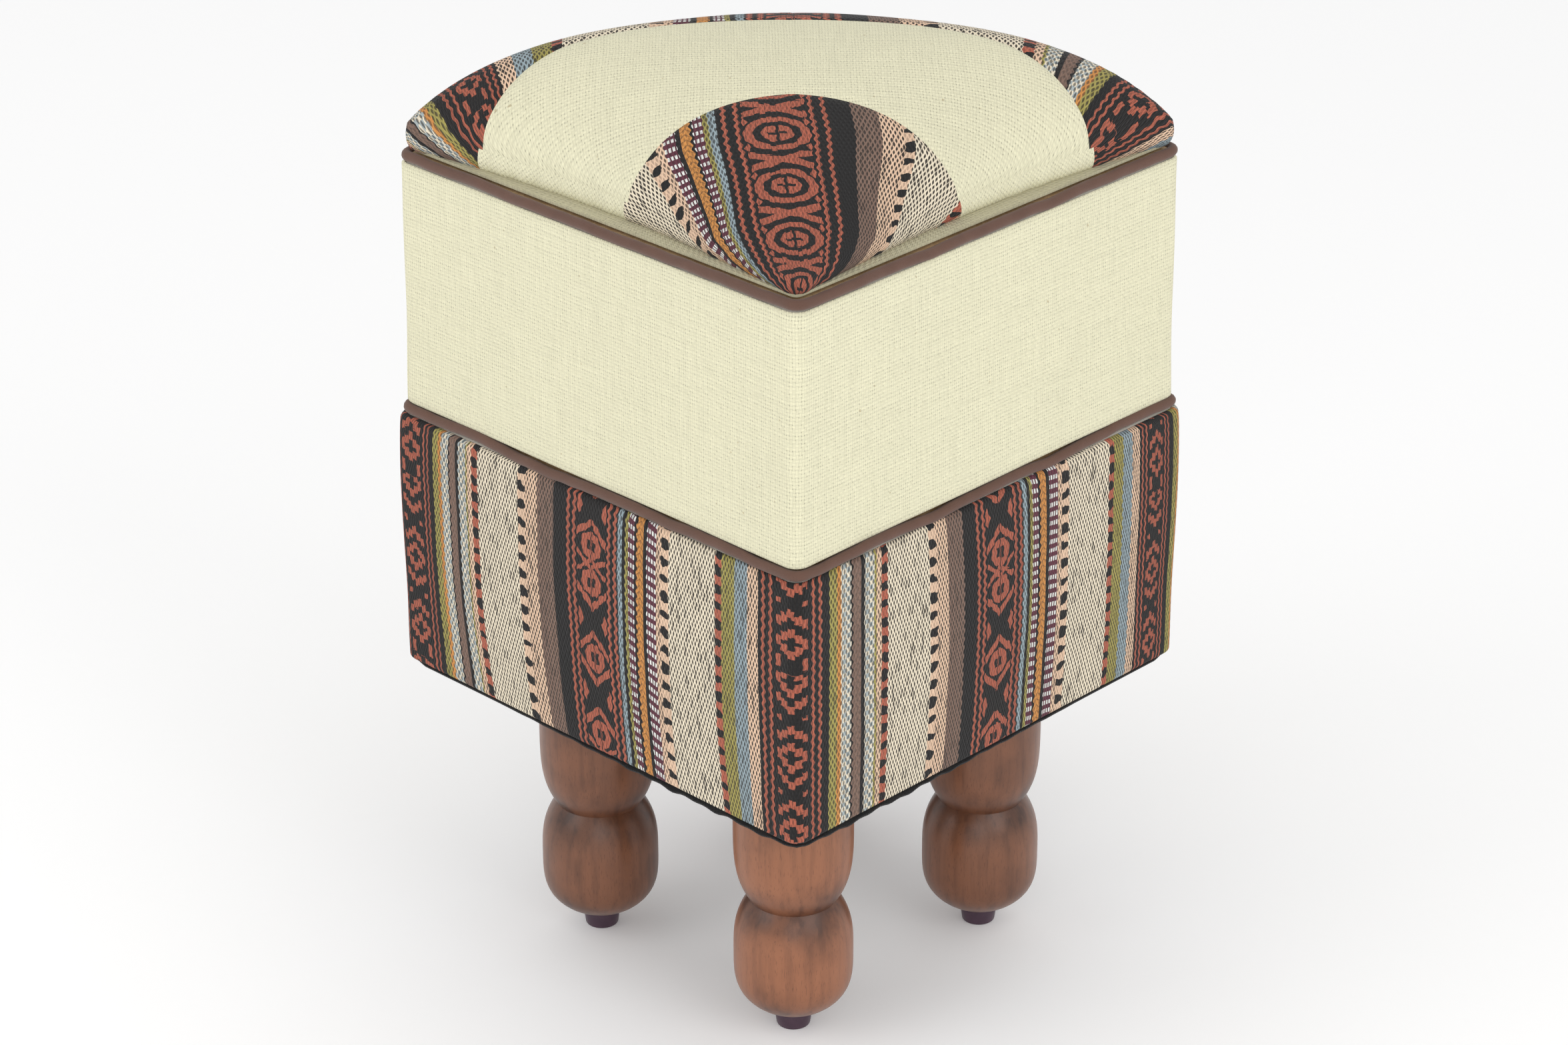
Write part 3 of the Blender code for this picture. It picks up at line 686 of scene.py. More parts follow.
@dataclass(frozen=True)
class PatchKilim(Kilim):
    """Another length of the same cloth, whose wide figures are a column of ringed eyes and crossings."""

    wide_width: float = 0.0590
    wide_fold: float = 0.0200
    wide_lines: Pair = (0.0197, 0.0263)
    trim: Tuple[float, float, float] = (0.0036, 0.0002, 0.0030)
    braid_width: float = 0.0082
    stroke_pitch: float = 0.0028
    knot_slant: float = 0.55
    eye_half: Pair = (0.0170, 0.0125)
    eye_ring: Pair = (0.78, 0.25)
    eye_pupil: float = 0.24
    glint_half: Pair = (0.0050, 0.0009)
    pupil_gap: float = 0.0008
    arm_slope: float = 0.30
    arm_stroke: float = 0.0024
    arm_end: float = 0.0168
    leaf_middle: Pair = (0.0160, 0.0105)
    leaf_half: Pair = (0.0018, 0.0030)

    def wide_figure(self, x: Signal, height: Signal) -> Signal:
        """Ringed eyes at one mirror line and crossed arms at the other.

        Args:
            x: Distance from the figure's middle line.
            height: Height on the cloth.

        Returns:
            One where the figure's yarn shows.
        """
        y = height.fold(self.wide_fold)
        rise = abs(y - self.wide_fold)
        across, along = x / self.eye_half[0], rise / self.eye_half[1]
        oval = across * across + along * along
        ring = oval.near(*self.eye_ring)
        glint = rise.below(self.glint_half[1]) * x.below(self.glint_half[0])
        pupil = oval.below(self.eye_pupil) * (1.0 - glint) * x.above(self.pupil_gap)
        arm = (y - x * self.arm_slope).near(0.0, self.arm_stroke) * x.below(self.arm_end)
        spread = [abs(way - self.leaf_middle[i]) / self.leaf_half[i] for i, way in enumerate((x, y))]
        leaf = (spread[0] + spread[1]).below(1.0)
        return ring.either(pupil).either(arm).either(leaf)


@dataclass(frozen=True)
class CreamCloth:
    """A plain-woven natural cloth with slubs, small gaps between its threads and a few darker specks."""

    name: str
    colour: Rgb = (221, 217, 187)
    pitch: Pair = (0.0016, 0.0021)
    wander: float = 0.0012
    contrast: float = 0.20
    # How dark the painted shade in the holes between threads is.
    pinhole_shade: float = 0.50
    speck: Rgb = (150, 124, 80)

    def material(self) -> Material:
        """Build the cloth's material on the piece's cloth map."""
        surface = Surface(self.name, roughness=0.93, sheen=0.08)
        u, v = surface.cloth()
        u = u + (surface.noise((u, v), 70.0) - 0.5) * self.wander
        v = v + (surface.noise((v, u), 70.0) - 0.5) * self.wander
        warp, weft = u / self.pitch[0], v / self.pitch[1]
        over = (warp.floor() + weft.floor()).parity()
        across = 1.0 - abs(warp.fract() - 0.5) * 2.0
        along = 1.0 - abs(weft.fract() - 0.5) * 2.0
        thread = across * over + along * (1.0 - over)
        crossing = surface.chance(warp.calculate("ROUND"), weft.calculate("ROUND"))
        # Painted shade: dark holes where threads cross, as gaps in the weave.
        hole = (2.0 - across - along).ease(1.45, 1.95) * crossing.ease(0.35, 0.95)
        slubs = surface.noise((u * 0.06, v), 520.0, 1.0) + surface.noise((u, v * 0.06), 520.0, 1.0)
        tone = (
            thread * self.contrast
            + slubs * 0.15
            + surface.chance(warp.floor(), weft.floor()) * 0.05
            + surface.noise((u, v), 12.0) * 0.06
            + (0.81 - self.contrast * 0.5)
        )
        colour = surface.shade(tone - hole * self.pinhole_shade, linear(self.colour))
        speck = surface.noise((u, v), 260.0, 1.0).ease(0.76, 0.80)
        colour = surface.blend(speck * 0.5, colour, linear(self.speck))
        return surface.done(colour, thread + slubs * 0.5 - hole, depth=0.0005, strength=0.6)


@dataclass(frozen=True)
class TwillTape:
    """Close-woven cloth over a cord, in the frame's own places."""

    name: str
    colour: Rgb = (98, 70, 58)
    twill_pitch: float = 0.0009

    def material(self) -> Material:
        """Build the cord's material."""
        surface = Surface(self.name, roughness=0.90, sheen=0.15)
        x, y, z = surface.place()
        twill = ((x + y + z * 1.4) / self.twill_pitch).fract()
        mottle = surface.noise((x, y, z), 90.0, 3.0)
        fuzz = surface.noise((x, y, z), 1500.0)
        tone = mottle * 0.34 + fuzz * 0.24 + abs(twill - 0.5) * 0.16 + 0.66
        colour = surface.shade(tone, linear(self.colour))
        return surface.done(colour, twill + fuzz, depth=0.0002, strength=0.4)


@dataclass(frozen=True)
class TurnedWood:
    """Stained hardwood with upright grain and stain mottling, with painted shade in the neck, at the ends and
    on all but the front leg.
    """

    name: str
    light: Rgb = (151, 96, 65)
    dark: Rgb = (80, 47, 31)
    neck: float = 0.0830
    foot: float = 0.0118
    top: float = 0.1771
    neck_reach: float = 0.022
    foot_reach: float = 0.034
    top_reach: float = 0.020
    # Painted shade on the legs away from the front corner: where it fades in along x minus y, and how dark it
    # gets.
    front: Pair = (0.04, 0.16)
    back_painted_shade: float = 0.67

    def material(self) -> Material:
        """Build the wood's material in the frame's places."""
        surface = Surface(self.name, roughness=0.40)
        x, y, z = surface.place()
        grain = surface.noise((x, y, z * 0.07), 260.0, 4.0)
        pores = surface.noise((x, y, z * 0.12), 1700.0, 2.0)
        cloud = surface.noise((x, y, z), 30.0, 3.0)
        # Painted shade with stain mottling: darker towards the neck, the foot and the top; the stain mix below
        # carries both.
        ends = abs(z - self.neck).ease(0.0, self.neck_reach, 1.0, 0.0)
        ends = ends.either((z - self.foot).ease(0.0, self.foot_reach, 1.0, 0.0))
        ends = ends.either((self.top - z).ease(0.0, self.top_reach, 1.0, 0.0))
        stain = ends * (cloud * 0.6 + 0.22) + grain.ease(0.40, 0.74) * 0.30 + cloud.ease(0.42, 0.78) * 0.45
        colour = surface.blend(stain, linear(self.light), linear(self.dark))
        colour = surface.blend(pores.ease(0.58, 0.70) * 0.40, colour, linear(self.dark))
        # Painted shade: legs away from the front corner are darkened, as in the shade under the box.
        colour = surface.shade((x - y).ease(*self.front, self.back_painted_shade, 1.0), colour)
        surface.give(Roughness=cloud * 0.16 + 0.30, Coat_Weight=0.10, Coat_Roughness=0.22)
        return surface.done(colour, grain + pores * 0.5, depth=0.0002, strength=0.25)


@dataclass(frozen=True)
class Plywood:
    """Birch plywood: pale faces with a lazy grain, and thin darker glue lines through the thickness."""

    name: str
    light: Rgb = (214, 184, 142)
    dark: Rgb = (170, 128, 84)
    ply: float = 0.0015

    def material(self) -> Material:
        """Build the board's material in the frame's places."""
        surface = Surface(self.name, roughness=0.62)
        x, y, z = surface.place()
        figure = surface.noise((x, y, z * 0.12), 38.0, 4.0)
        rings = (figure * 9.0).fract()
        plies = ((x + y + z) / self.ply).fract().below(0.16)
        stain = rings * 0.45 + plies * 0.22 + surface.noise((x, y, z * 0.05), 420.0) * 0.2
        return surface.done(surface.blend(stain, linear(self.light), linear(self.dark)), rings, 0.0002, 0.2)


@dataclass(frozen=True)
class Mottled:
    """A plain substance with a fine uneven surface: plastic, metal, wadding or foam."""

    name: str
    light: Rgb
    dark: Rgb
    roughness: float
    fineness: float
    depth: float
    metallic: float = 0.0

    def material(self) -> Material:
        """Build the substance's material in the frame's places."""
        surface = Surface(self.name, self.roughness, metallic=self.metallic)
        spot = surface.place()
        coarse = surface.noise(spot, self.fineness, 3.0)
        fine = surface.noise(spot, self.fineness * 9, 2.0)
        colour = surface.blend(coarse * 0.7 + fine * 0.3, linear(self.dark), linear(self.light))
        return surface.done(colour, coarse * 0.6 + fine * 0.6, self.depth, 0.4)


class Finishes:
    """Every material of the stool, each made once."""

    def __init__(self) -> None:
        """Make the materials."""
        self.patch_weave = PatchKilim("kilim_patch")
        self.kilim = Kilim("kilim_bands").material()
        self.kilim_patch = self.patch_weave.material()
        self.cream = CreamCloth("cream_plain_weave").material()
        # The rim facing's cream cloth is painted darker: painted shade under the lid's overhang.
        self.rim = CreamCloth("rim_plain_weave_painted_shade", (186, 180, 150)).material()
        self.lining = CreamCloth("calico", (222, 208, 180), (0.0008, 0.0008), 0.10).material()
        self.dust = CreamCloth("black_dust_cloth", (26, 26, 28), (0.0010, 0.0010), 0.30).material()
        self.piping = TwillTape("brown_piping").material()
        self.wood = TurnedWood("stained_turned_wood").material()
        self.plywood = Plywood("birch_plywood").material()
        self.glide, self.steel, self.wadding, self.foam = (
            Mottled(*row).material()
            for row in (
                ("plum_plastic", (78, 52, 70), (50, 32, 46), 0.38, 160.0, 0.0001),
                ("zinc_steel", (196, 196, 192), (150, 150, 148), 0.36, 260.0, 0.0001, 1.0),
                ("cotton_wadding", (240, 236, 226), (212, 204, 188), 0.97, 120.0, 0.0015),
                ("upholstery_foam", (232, 216, 160), (202, 180, 118), 0.95, 420.0, 0.0008),
            )
        )


def link(name: str, data: Optional[bpy.types.ID]) -> Piece:
    """Put a mesh, camera or light into the scene as a new object."""
    piece = bpy.data.objects.new(name, data)
    bpy.context.scene.collection.objects.link(piece)
    return piece


def add_object(name: str, mesh: bpy.types.Mesh, material: Material) -> Piece:
    """Put a mesh into the scene as one smooth piece.

    Args:
        name: The piece's name.
        mesh: Its mesh, in the frame's places.
        material: Its only material.

    Returns:
        The piece.
    """
    mesh.materials.clear()
    mesh.materials.append(material)
    mesh.shade_smooth()
    return link(name, mesh)


def settle(piece: Piece, sharp: Optional[float] = None) -> Piece:
    """Turn a piece's modifiers into its plain mesh.

    Args:
        piece: The piece.
        sharp: The angle in degrees past which an edge stays crisp.

    Returns:
        The same piece, with no modifiers.
    """
    depsgraph = bpy.context.evaluated_depsgraph_get()
    mesh = bpy.data.meshes.new_from_object(piece.evaluated_get(depsgraph))
    mesh.name = piece.name
    piece.modifiers.clear()
    piece.data = mesh
    if sharp is not None:
        mesh.set_sharp_from_angle(angle=math.radians(sharp))
    return piece


def thicken(piece: Piece, thickness: float) -> Piece:
    """Give a cloth surface its thickness, inwards from its outer side.

    Args:
        piece: The surface, with its faces outwards.
        thickness: The cloth's thickness.

    Returns:
        The closed piece.
    """
    wall = piece.modifiers.new("thickness", "SOLIDIFY")
    wall.thickness = thickness
    wall.offset = -1.0
    return settle(piece, CRISP_ANGLE)


def sheet_mesh(
    name: str, points: Array, places: Array, faces: Sequence[Sequence[int]]
) -> bpy.types.Mesh:
    """Make a mesh with a cloth map, joining points that coincide.

    Args:
        name: The mesh's name.
        points: One row of three coordinates for each point.
        places: Each point's place on the cloth, in metres.
        faces: Indices of each face's points, outwards.

    Returns:
        The mesh.
    """
    mesh = bpy.data.meshes.new(name)
    mesh.from_pydata(points.tolist(), [], [list(face) for face in faces])
    corners = np.zeros(len(mesh.loops), dtype=np.int64)
    mesh.loops.foreach_get("vertex_index", corners)
    layer = mesh.uv_layers.new(name=CLOTH_MAP)
    layer.data.foreach_set("uv", places[corners].astype(np.float32).ravel())
    bm = bmesh.new()
    bm.from_mesh(mesh)
    bmesh.ops.remove_doubles(bm, verts=bm.verts, dist=JOIN_DISTANCE)
    bmesh.ops.dissolve_degenerate(bm, edges=bm.edges, dist=JOIN_DISTANCE)
    bm.to_mesh(mesh)
    bm.free()
    return mesh


def grid_faces(rows: int, columns: int) -> List[Tuple[int, int, int, int]]:
    """Faces of a grid of points, whose rows run down and whose columns run right as seen from outside."""
    return [
        (r * columns + c, (r + 1) * columns + c, (r + 1) * columns + c + 1, r * columns + c + 1)
        for r in range(rows - 1)
        for c in range(columns - 1)
    ]


def lathe(
    name: str, profile: Sequence[Pair], centre: Vector, segments: int, material: Material
) -> Piece:
    """Turn a half section round an upright axis.

    Args:
        name: The piece's name.
        profile: Radius and height from the top down the outside, closed on itself or on the axis.
        centre: A point on the axis.
        segments: How many steps a turn has.
        material: The piece's material.

    Returns:
        The turned piece.
    """
    angles = np.linspace(0.0, 2 * math.pi, segments + 1)
    section = np.array(profile)
    points = np.zeros((len(section), segments + 1, 3))
    points[..., 0] = centre.x + section[:, :1] * np.cos(angles)
    points[..., 1] = centre.y + section[:, :1] * np.sin(angles)
    points[..., 2] = section[:, 1:]
    flat = points.reshape(-1, 3)
    mesh = sheet_mesh(name, flat, flat[:, :2] * 0.0, grid_faces(len(section), segments + 1))
    piece = add_object(name, mesh, material)
    mesh.set_sharp_from_angle(angle=math.radians(TURNED_CRISP_ANGLE))
    return piece


@dataclass(frozen=True)
class SquareRun:
    """Places all round the stool on rounded squares, anticlockwise from the corner at (-X, -Y)."""

    arc_steps: int = 6
    side_steps: int = 72

    def line(self) -> List[Pair]:
        """Steps along one face: its share of the straight part, and its angle in a corner in degrees."""
        turn = [45.0 * step / self.arc_steps for step in range(self.arc_steps + 1)]
        run = [(-1.0, angle - 45.0) for angle in turn[:-1]]
        run += [(2.0 * step / self.side_steps - 1.0, 0.0) for step in range(self.side_steps + 1)]
        return run + [(1.0, angle) for angle in turn[1:-1]]

    def points(self, half: Array, radius: Array) -> Array:
        """Points on rounded squares.

        Args:
            half: Half the side of each square.
            radius: Its corner radius.

        Returns:
            X and Y for each square and each step, with the first step repeated at the end.
        """
        share, angle = np.array(self.line()).T
        angle = np.radians(angle)
        straight = (half - radius)[:, None]
        along = share * straight + radius[:, None] * np.sin(angle)
        out = straight + radius[:, None] * np.cos(angle)
        faces = [(along, -out), (out, along), (-along, out), (-out, -along)]
        ways = [np.concatenate([face[i] for face in faces] + [faces[0][i][:, :1]], axis=1) for i in (0, 1)]
        return np.stack(ways, axis=-1)

    def lengths(self, half: float, radius: float) -> Array:
        """Distance round one square at each step, from zero at the first corner's middle."""
        run = self.points(np.array([half]), np.array([radius]))[0]
        steps = np.linalg.norm(np.diff(run, axis=0), axis=1)
        return np.concatenate([[0.0], np.cumsum(steps)])


@dataclass(frozen=True)
class ClothLay:
    """How a patterned band lies on the stool, as pairs of a share of the way round and metres."""

    stretch: Knots
    creep: Knots
    bulge: Knots
    rows: Knots
    creep_power: int = 3
    bulge_end: float = 1.15

    def places(self, across: Array, along: Array) -> Array:
        """Find places on the cloth.

        Args:
            across: Distance round the stool.
            along: Distance down the band.

        Returns:
            The place on the cloth of each point, across it and along it.
        """
        share = across / across.max()
        depth = along / along.max()
        shift = np.interp(share, *zip(*self.creep)) * depth**self.creep_power
        belly = np.sin(math.pi * np.minimum(depth * self.bulge_end, 1.0))
        shift += np.interp(share, *zip(*self.bulge)) * belly
        place = np.interp(share - shift / across.max(), *zip(*self.stretch))
        return np.stack([place, np.interp(share, *zip(*self.rows)) - along], axis=-1)


def ring_sheet(
    name: str,
    section: Section,
    lay: Optional[ClothLay],
    waver: Optional[Waver],
    material: Material,
    run: SquareRun = SquareRun(),
) -> Piece:
    """Make a band of cloth round the stool, as a surface.

    Args:
        name: The piece's name.
        section: Half side, corner radius and height, from the top down the outside.
        lay: How the cloth lies, or None for true lengths.
        waver: How far the cloth stands out or in, from the distance round and the distance down.
        material: The cloth.
        run: The steps round the stool.

    Returns:
        The band's surface.
    """
    half, radius, level = (np.array(column) for column in zip(*section))
    plan = run.points(half, radius)
    points = np.concatenate([plan, np.repeat(level[:, None, None], plan.shape[1], axis=1)], axis=2)
    drop = np.concatenate([[0.0], np.cumsum(np.hypot(np.diff(half), np.diff(level)))])
    around = run.lengths(float(half.max()), float(radius.max()))
    across, along = np.meshgrid(around, drop)
    if waver is not None:
        swell = waver(across, along)[..., None]
        points[..., :2] *= 1.0 + swell / np.maximum(half, 0.02)[:, None, None]
    places = np.stack([across, -along], axis=-1) if lay is None else lay.places(across, along)
    mesh = sheet_mesh(name, points.reshape(-1, 3), places.reshape(-1, 2), grid_faces(*plan.shape[:2]))
    return add_object(name, mesh, material)


class NodeRig:
    """A Geometry Nodes tree with named sizes, which makes one plain mesh."""

    def __init__(self, name: str, sizes: Dict[str, float], material: Material) -> None:
        """Start a tree.

        Args:
            name: The tree's and the piece's name.
            sizes: Its named inputs and their values.
            material: The finished piece's material.
        """
        self.name = name
        self.sizes = sizes
        self.material = material
        self.tree = bpy.data.node_groups.new(name, "GeometryNodeTree")
        self.entries = {
            size: self.tree.interface.new_socket(name=size, in_out="INPUT", socket_type="NodeSocketFloat")
            for size in sizes
        }
        self.tree.interface.new_socket(name="Geometry", in_out="OUTPUT", socket_type="NodeSocketGeometry")
        self.source = self.tree.nodes.new("NodeGroupInput")

    def size(self, name: str) -> Signal:
        """The value of a named size."""
        return Signal(self.tree, self.source.outputs[name])

    def node(self, kind: str, settings: Optional[Dict[str, str]] = None, **values: object) -> Node:
        """Add a node, set its options and feed its inputs, named with spaces as underscores."""
        node = self.tree.nodes.new(kind)
        for name, option in (settings or {}).items():
            setattr(node, name, option)
        for name, value in values.items():
            entry = next(s for s in node.inputs if s.name == name.replace("_", " ") and s.enabled)
            feed(self.tree, entry, value)
        return node

    def out(self, kind: str, settings: Optional[Dict[str, str]] = None, **values: object) -> Socket:
        """The first output of a new node."""
        return self.node(kind, settings, **values).outputs[0]

    def vector(self, x: object = 0.0, y: object = 0.0, z: object = 0.0) -> Socket:
        """Three values as one vector."""
        return self.out("ShaderNodeCombineXYZ", X=x, Y=y, Z=z)

    def square(self, half: Signal) -> Socket:
        """A square curve round the origin."""
        side = half * 2.0
        return self.out("GeometryNodeCurvePrimitiveQuadrilateral", Width=side, Height=side)

    def make(self, geometry: Socket) -> Piece:
        """Close the tree and turn its result into a plain piece.

        Args:
            geometry: What the tree has made.

        Returns:
            The piece, with no modifier.
        """
        real = self.out("GeometryNodeRealizeInstances", Geometry=geometry)
        smooth = self.out("GeometryNodeSetShadeSmooth", Geometry=real)
        painted = self.out("GeometryNodeSetMaterial", Geometry=smooth, Material=self.material)
        self.tree.links.new(painted, self.tree.nodes.new("NodeGroupOutput").inputs[0])
        piece = link(self.name, bpy.data.meshes.new(self.name))
        modifier = piece.modifiers.new(self.name, "NODES")
        modifier.node_group = self.tree
        for size, value in self.sizes.items():
            modifier[self.entries[size].identifier] = value
        return settle(piece, CRISP_ANGLE)


def mount(piece: Piece, body: Body, slot: Slot, *nodes: str) -> Piece:
    """Set a piece on its body and report it.

    Args:
        piece: The finished piece.
        body: What it rides on.
        slot: The record's material slot; not used.
        nodes: The CAD nodes that it stands for.

    Returns:
        The piece.
    """
    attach(piece, body.value)
    if nodes:
        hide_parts(*nodes)
    LOG.info("%s: %d faces on %s", piece.name, len(piece.data.polygons), body.value)
    return piece


@dataclass
class LidCushion:
    """The lid's crowned pad and its cover of three sewn pieces."""

    finishes: Finishes
    corner_radius: float = 0.007
    front_flare: float = 0.0108
    back_flare: float = -0.0040
    plump_flare: float = 0.0125
    pinched_height: float = 0.0095
    plump_height: float = 0.0140
    power: float = 4.0
    fullness: float = 0.50
    ridge_rounding: float = 0.22
    patch_centre: float = 0.0425
    patch_radius: float = 0.1018
    arch_centre: float = 0.0165
    arch_radius: float = 0.2195
    arch_shift: float = -0.0045
    hub_distance: float = 0.110
    cloth: float = 0.0018
    gap: float = 0.0003
    rays: int = 440
    swell_steps: int = 44
    swell_rise: float = 0.0005
    swell_limit: float = 0.0040
    swell_frames: int = 18
    held_share: float = 0.999
    halvings: int = 48
    fine_steps: int = 6000
    seam_depth: float = 0.0011
    seam_width: float = 0.0024
    seam_slack: float = 0.00005
    seam_fade: Pair = (12.0, 0.25)
    even_steps: int = 14
    hub_steps: Tuple[float, ...] = (0.012, 0.03, 0.05)
    edge_steps: Tuple[float, ...] = (0.048, 0.03, 0.018, 0.010, 0.005, 0.002, 0.0006)
    skirt_steps: int = 9
    skirt_bulge: float = 0.0011
    skirt_tuck: float = 0.0016
    pucker_depth: float = 0.0005
    pucker_pitch: float = 0.017
    pucker_beats: Pair = (31.0, 43.0)
    patch_line: Pair = (0.0030, 0.0954)
    patch_inner: Tuple[float, float, float] = (0.62, 0.38, 0.045)
    patch_outer: Tuple[float, float, float] = (0.46, 0.63, 0.110)
    patch_drop: float = 0.0135
    fan_line: float = 0.211
    fan_reach: Pair = (-0.03, 0.07)
    fan_lean: Pair = (0.80, 0.50)
    fan_start: float = 0.110
    fan_width: float = 0.100
    fan_rounds: int = 8
    back_stretch: Knots = (
        (-0.260, 0.1000), (-0.209, 0.0385), (-0.195, 0.0250), (-0.175, 0.0000),
        (-0.159, -0.0226), (-0.121, -0.0552), (0.1255, -0.2398), (0.141, -0.2503),
        (0.178, -0.2771), (0.199, -0.3021), (0.218, -0.3247), (0.260, -0.3747),
    )

    def __post_init__(self) -> None:
        """Take the lid's main sizes from the frame."""
        self.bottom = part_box("lid_under_cloth")[0].z
        self.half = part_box("lid_board")[1].x + self.gap + self.cloth
        self.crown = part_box("lid_arch_band")[1].z - self.bottom
        self.tip = self.half + self.front_flare
        self.back_way = np.array([-1.0, 1.0]) / math.sqrt(2)
        self.right_way = np.array([1.0, 1.0]) / math.sqrt(2)
        self.hub = self.on_diagonal(self.hub_distance)
        self.swell: Optional[Array] = None

    def on_diagonal(self, distance: float, shift: float = 0.0) -> Array:
        """The plan point at a distance from the front corner along the diagonal, shifted to its right."""
        return np.array([self.tip, -self.tip]) + self.back_way * distance + self.right_way * shift

    def outline(self, plan: Array) -> Tuple[Array, Array, Array]:
        """Where plan points lie in the lid's outline.

        Args:
            plan: X and Y of each point.

        Returns:
            Each point's share of the way out on both axes, its share of the way to the edge, and the edge's
            height.
        """
        size = np.maximum(np.abs(plan).max(axis=-1), TINY)
        unit = plan / size[..., None]
        low = np.abs(unit).min(axis=-1)
        straight = self.half - self.corner_radius
        square = 1 + low**2
        middle = straight * (1 + low)
        root = np.sqrt(np.maximum(middle**2 - square * (2 * straight**2 - self.corner_radius**2), 0.0))
        rounded = np.where(low * self.half <= straight, self.half, (middle + root) / square)
        pinch = (1 - unit[..., 0] * unit[..., 1]) / 2
        pinched = np.where(unit[..., 0] > unit[..., 1], self.front_flare, self.back_flare)
        flare = pinched * pinch + self.plump_flare * (1 - pinch)
        reach = size / (rounded * (self.half + flare * low**2) / self.half)
        edge = self.pinched_height * pinch + self.plump_height * (1 - pinch)
        return unit * reach[..., None], reach, edge

    def height(self, plan: Array) -> Array:
        """The crowned top's level above the lid's bottom, at plan points."""
        share, _, edge = self.outline(plan)
        share = np.clip(share, -1.0, 1.0)
        rise = np.prod(1 - np.abs(share) ** self.power, axis=-1) ** self.fullness
        across = (share[..., 0] - share[..., 1]) / 2
        top = self.ridge_rounding
        fall = (np.hypot(across, top) - top) / (math.hypot(1.0, top) - top)
        ridge = self.crown - (self.crown - self.pinched_height) * fall
        return edge + (ridge - edge) * rise

    def inflate(self) -> None:
        """Let the cover settle over the pad as cloth under pressure, held along its lower edge."""
        count = self.swell_steps + 1
        line = np.linspace(-1.0, 1.0, count)
        share = np.stack(np.meshgrid(line, line, indexing="ij"), axis=-1)
        _, reach, _ = self.outline(share)
        size = np.abs(share).max(axis=-1)
        plan = share * np.where(reach > 0, size / np.maximum(reach, TINY), 1.0)[..., None]
        level = self.bottom + self.height(plan)
        goal = np.concatenate([plan, level[..., None]], axis=-1)
        start = goal.copy()
        start[..., 2] += self.swell_rise * (1 - size**4)
        mesh = bpy.data.meshes.new("lid_swelling")
        mesh.from_pydata(start.reshape(-1, 3).tolist(), [], grid_faces(count, count))
        form = link("lid_swelling", mesh)
        held = form.vertex_groups.new(name="lower_edge")
        held.add([int(i) for i in np.flatnonzero(size.ravel() > self.held_share)], 1.0, "REPLACE")
        cloth = form.modifiers.new("swelling", "CLOTH")
        cloth.settings.vertex_group_mass = held.name
        cloth.settings.quality = 6
        cloth.settings.tension_stiffness = 25.0
        cloth.settings.compression_stiffness = 25.0
        cloth.settings.bending_stiffness = 1.5
        cloth.settings.use_pressure = True
        cloth.settings.uniform_pressure_force = 2.0
        cloth.settings.effector_weights.gravity = 0.0
        scene = bpy.context.scene
        for step in range(1, self.swell_frames + 1):
            scene.frame_set(step)
        result = form.evaluated_get(bpy.context.evaluated_depsgraph_get()).to_mesh()
        moved = np.zeros(count * count * 3, dtype=np.float32)
        result.vertices.foreach_get("co", moved)
        bpy.data.objects.remove(form, do_unlink=True)
        scene.frame_set(1)
        shift = moved.reshape(count, count, 3) - start
        distance = np.linalg.norm(shift, axis=-1, keepdims=True)
        shift *= np.minimum(1.0, self.swell_limit / np.maximum(distance, TINY))
        self.swell = start + shift - goal
        LOG.info("lid cover settled by up to %.1f mm", 1000 * float(np.abs(self.swell).max()))

    def settled(self, share: Array) -> Array:
        """How far the settled cover lies from the plain crown.

        Args:
            share: Each point's share of the way out on both axes.

        Returns:
            The shift of each point.
        """
        if self.swell is None:
            return np.zeros(share.shape[:-1] + (3,))
        place = (np.clip(share, -1.0, 1.0) + 1) / 2 * self.swell_steps
        first = np.clip(np.floor(place).astype(int), 0, self.swell_steps - 1)
        part = place - first
        total = np.zeros(share.shape[:-1] + (3,))
        for dx in (0, 1):
            for dy in (0, 1):
                weight = np.abs(1 - dx - part[..., 0]) * np.abs(1 - dy - part[..., 1])
                total += weight[..., None] * self.swell[first[..., 0] + dx, first[..., 1] + dy]
        return total

    def edge_reach(self, way: Array) -> Array:
        """Distance from the hub to the lid's edge, for each direction."""
        near, far = np.zeros(len(way)), np.full(len(way), 4 * self.half)
        for _ in range(self.halvings):
            middle = (near + far) / 2
            inside = self.outline(self.hub + way * middle[:, None])[1] < 1.0
            near, far = np.where(inside, middle, near), np.where(inside, far, middle)
        return (near + far) / 2

    def arc_reach(self, way: Array, centre: Array, radius: float) -> Array:
        """Distance from the hub to a seam's circle, for each direction."""
        offset = centre - self.hub
        along = way @ offset
        return along + np.sqrt(radius**2 - (offset @ offset - along**2))

    def directions(self) -> Array:
        """Directions from the hub to even steps along the lid's edge, and to the ends of both seams."""
        fine = np.linspace(0.0, 2 * math.pi, self.fine_steps + 1)
        way = np.stack([np.cos(fine), np.sin(fine)], axis=-1)
        reach = self.edge_reach(way)
        steps = np.linalg.norm(np.diff(way * reach[:, None], axis=0), axis=1)
        length = np.concatenate([[0.0], np.cumsum(steps)])
        angles = list(np.interp(np.linspace(0.0, length[-1], self.rays + 1)[:-1], length, fine))
        for centre, radius in self.seams():
            over = self.arc_reach(way, centre, radius) - reach
            for i in np.flatnonzero(over[:-1] * over[1:] < 0):
                crossing = fine[i] + (fine[i + 1] - fine[i]) * over[i] / (over[i] - over[i + 1])
                nearest = int(np.argmin(np.abs(np.array(angles) - crossing)))
                angles[nearest] = crossing
        return np.array(sorted(angles))

    def seams(self) -> List[Tuple[Array, float]]:
        """The centre and radius of each seam's circle."""
        return [
            (self.on_diagonal(self.patch_centre), self.patch_radius),
            (self.on_diagonal(self.arch_centre, self.arch_shift), self.arch_radius),
        ]

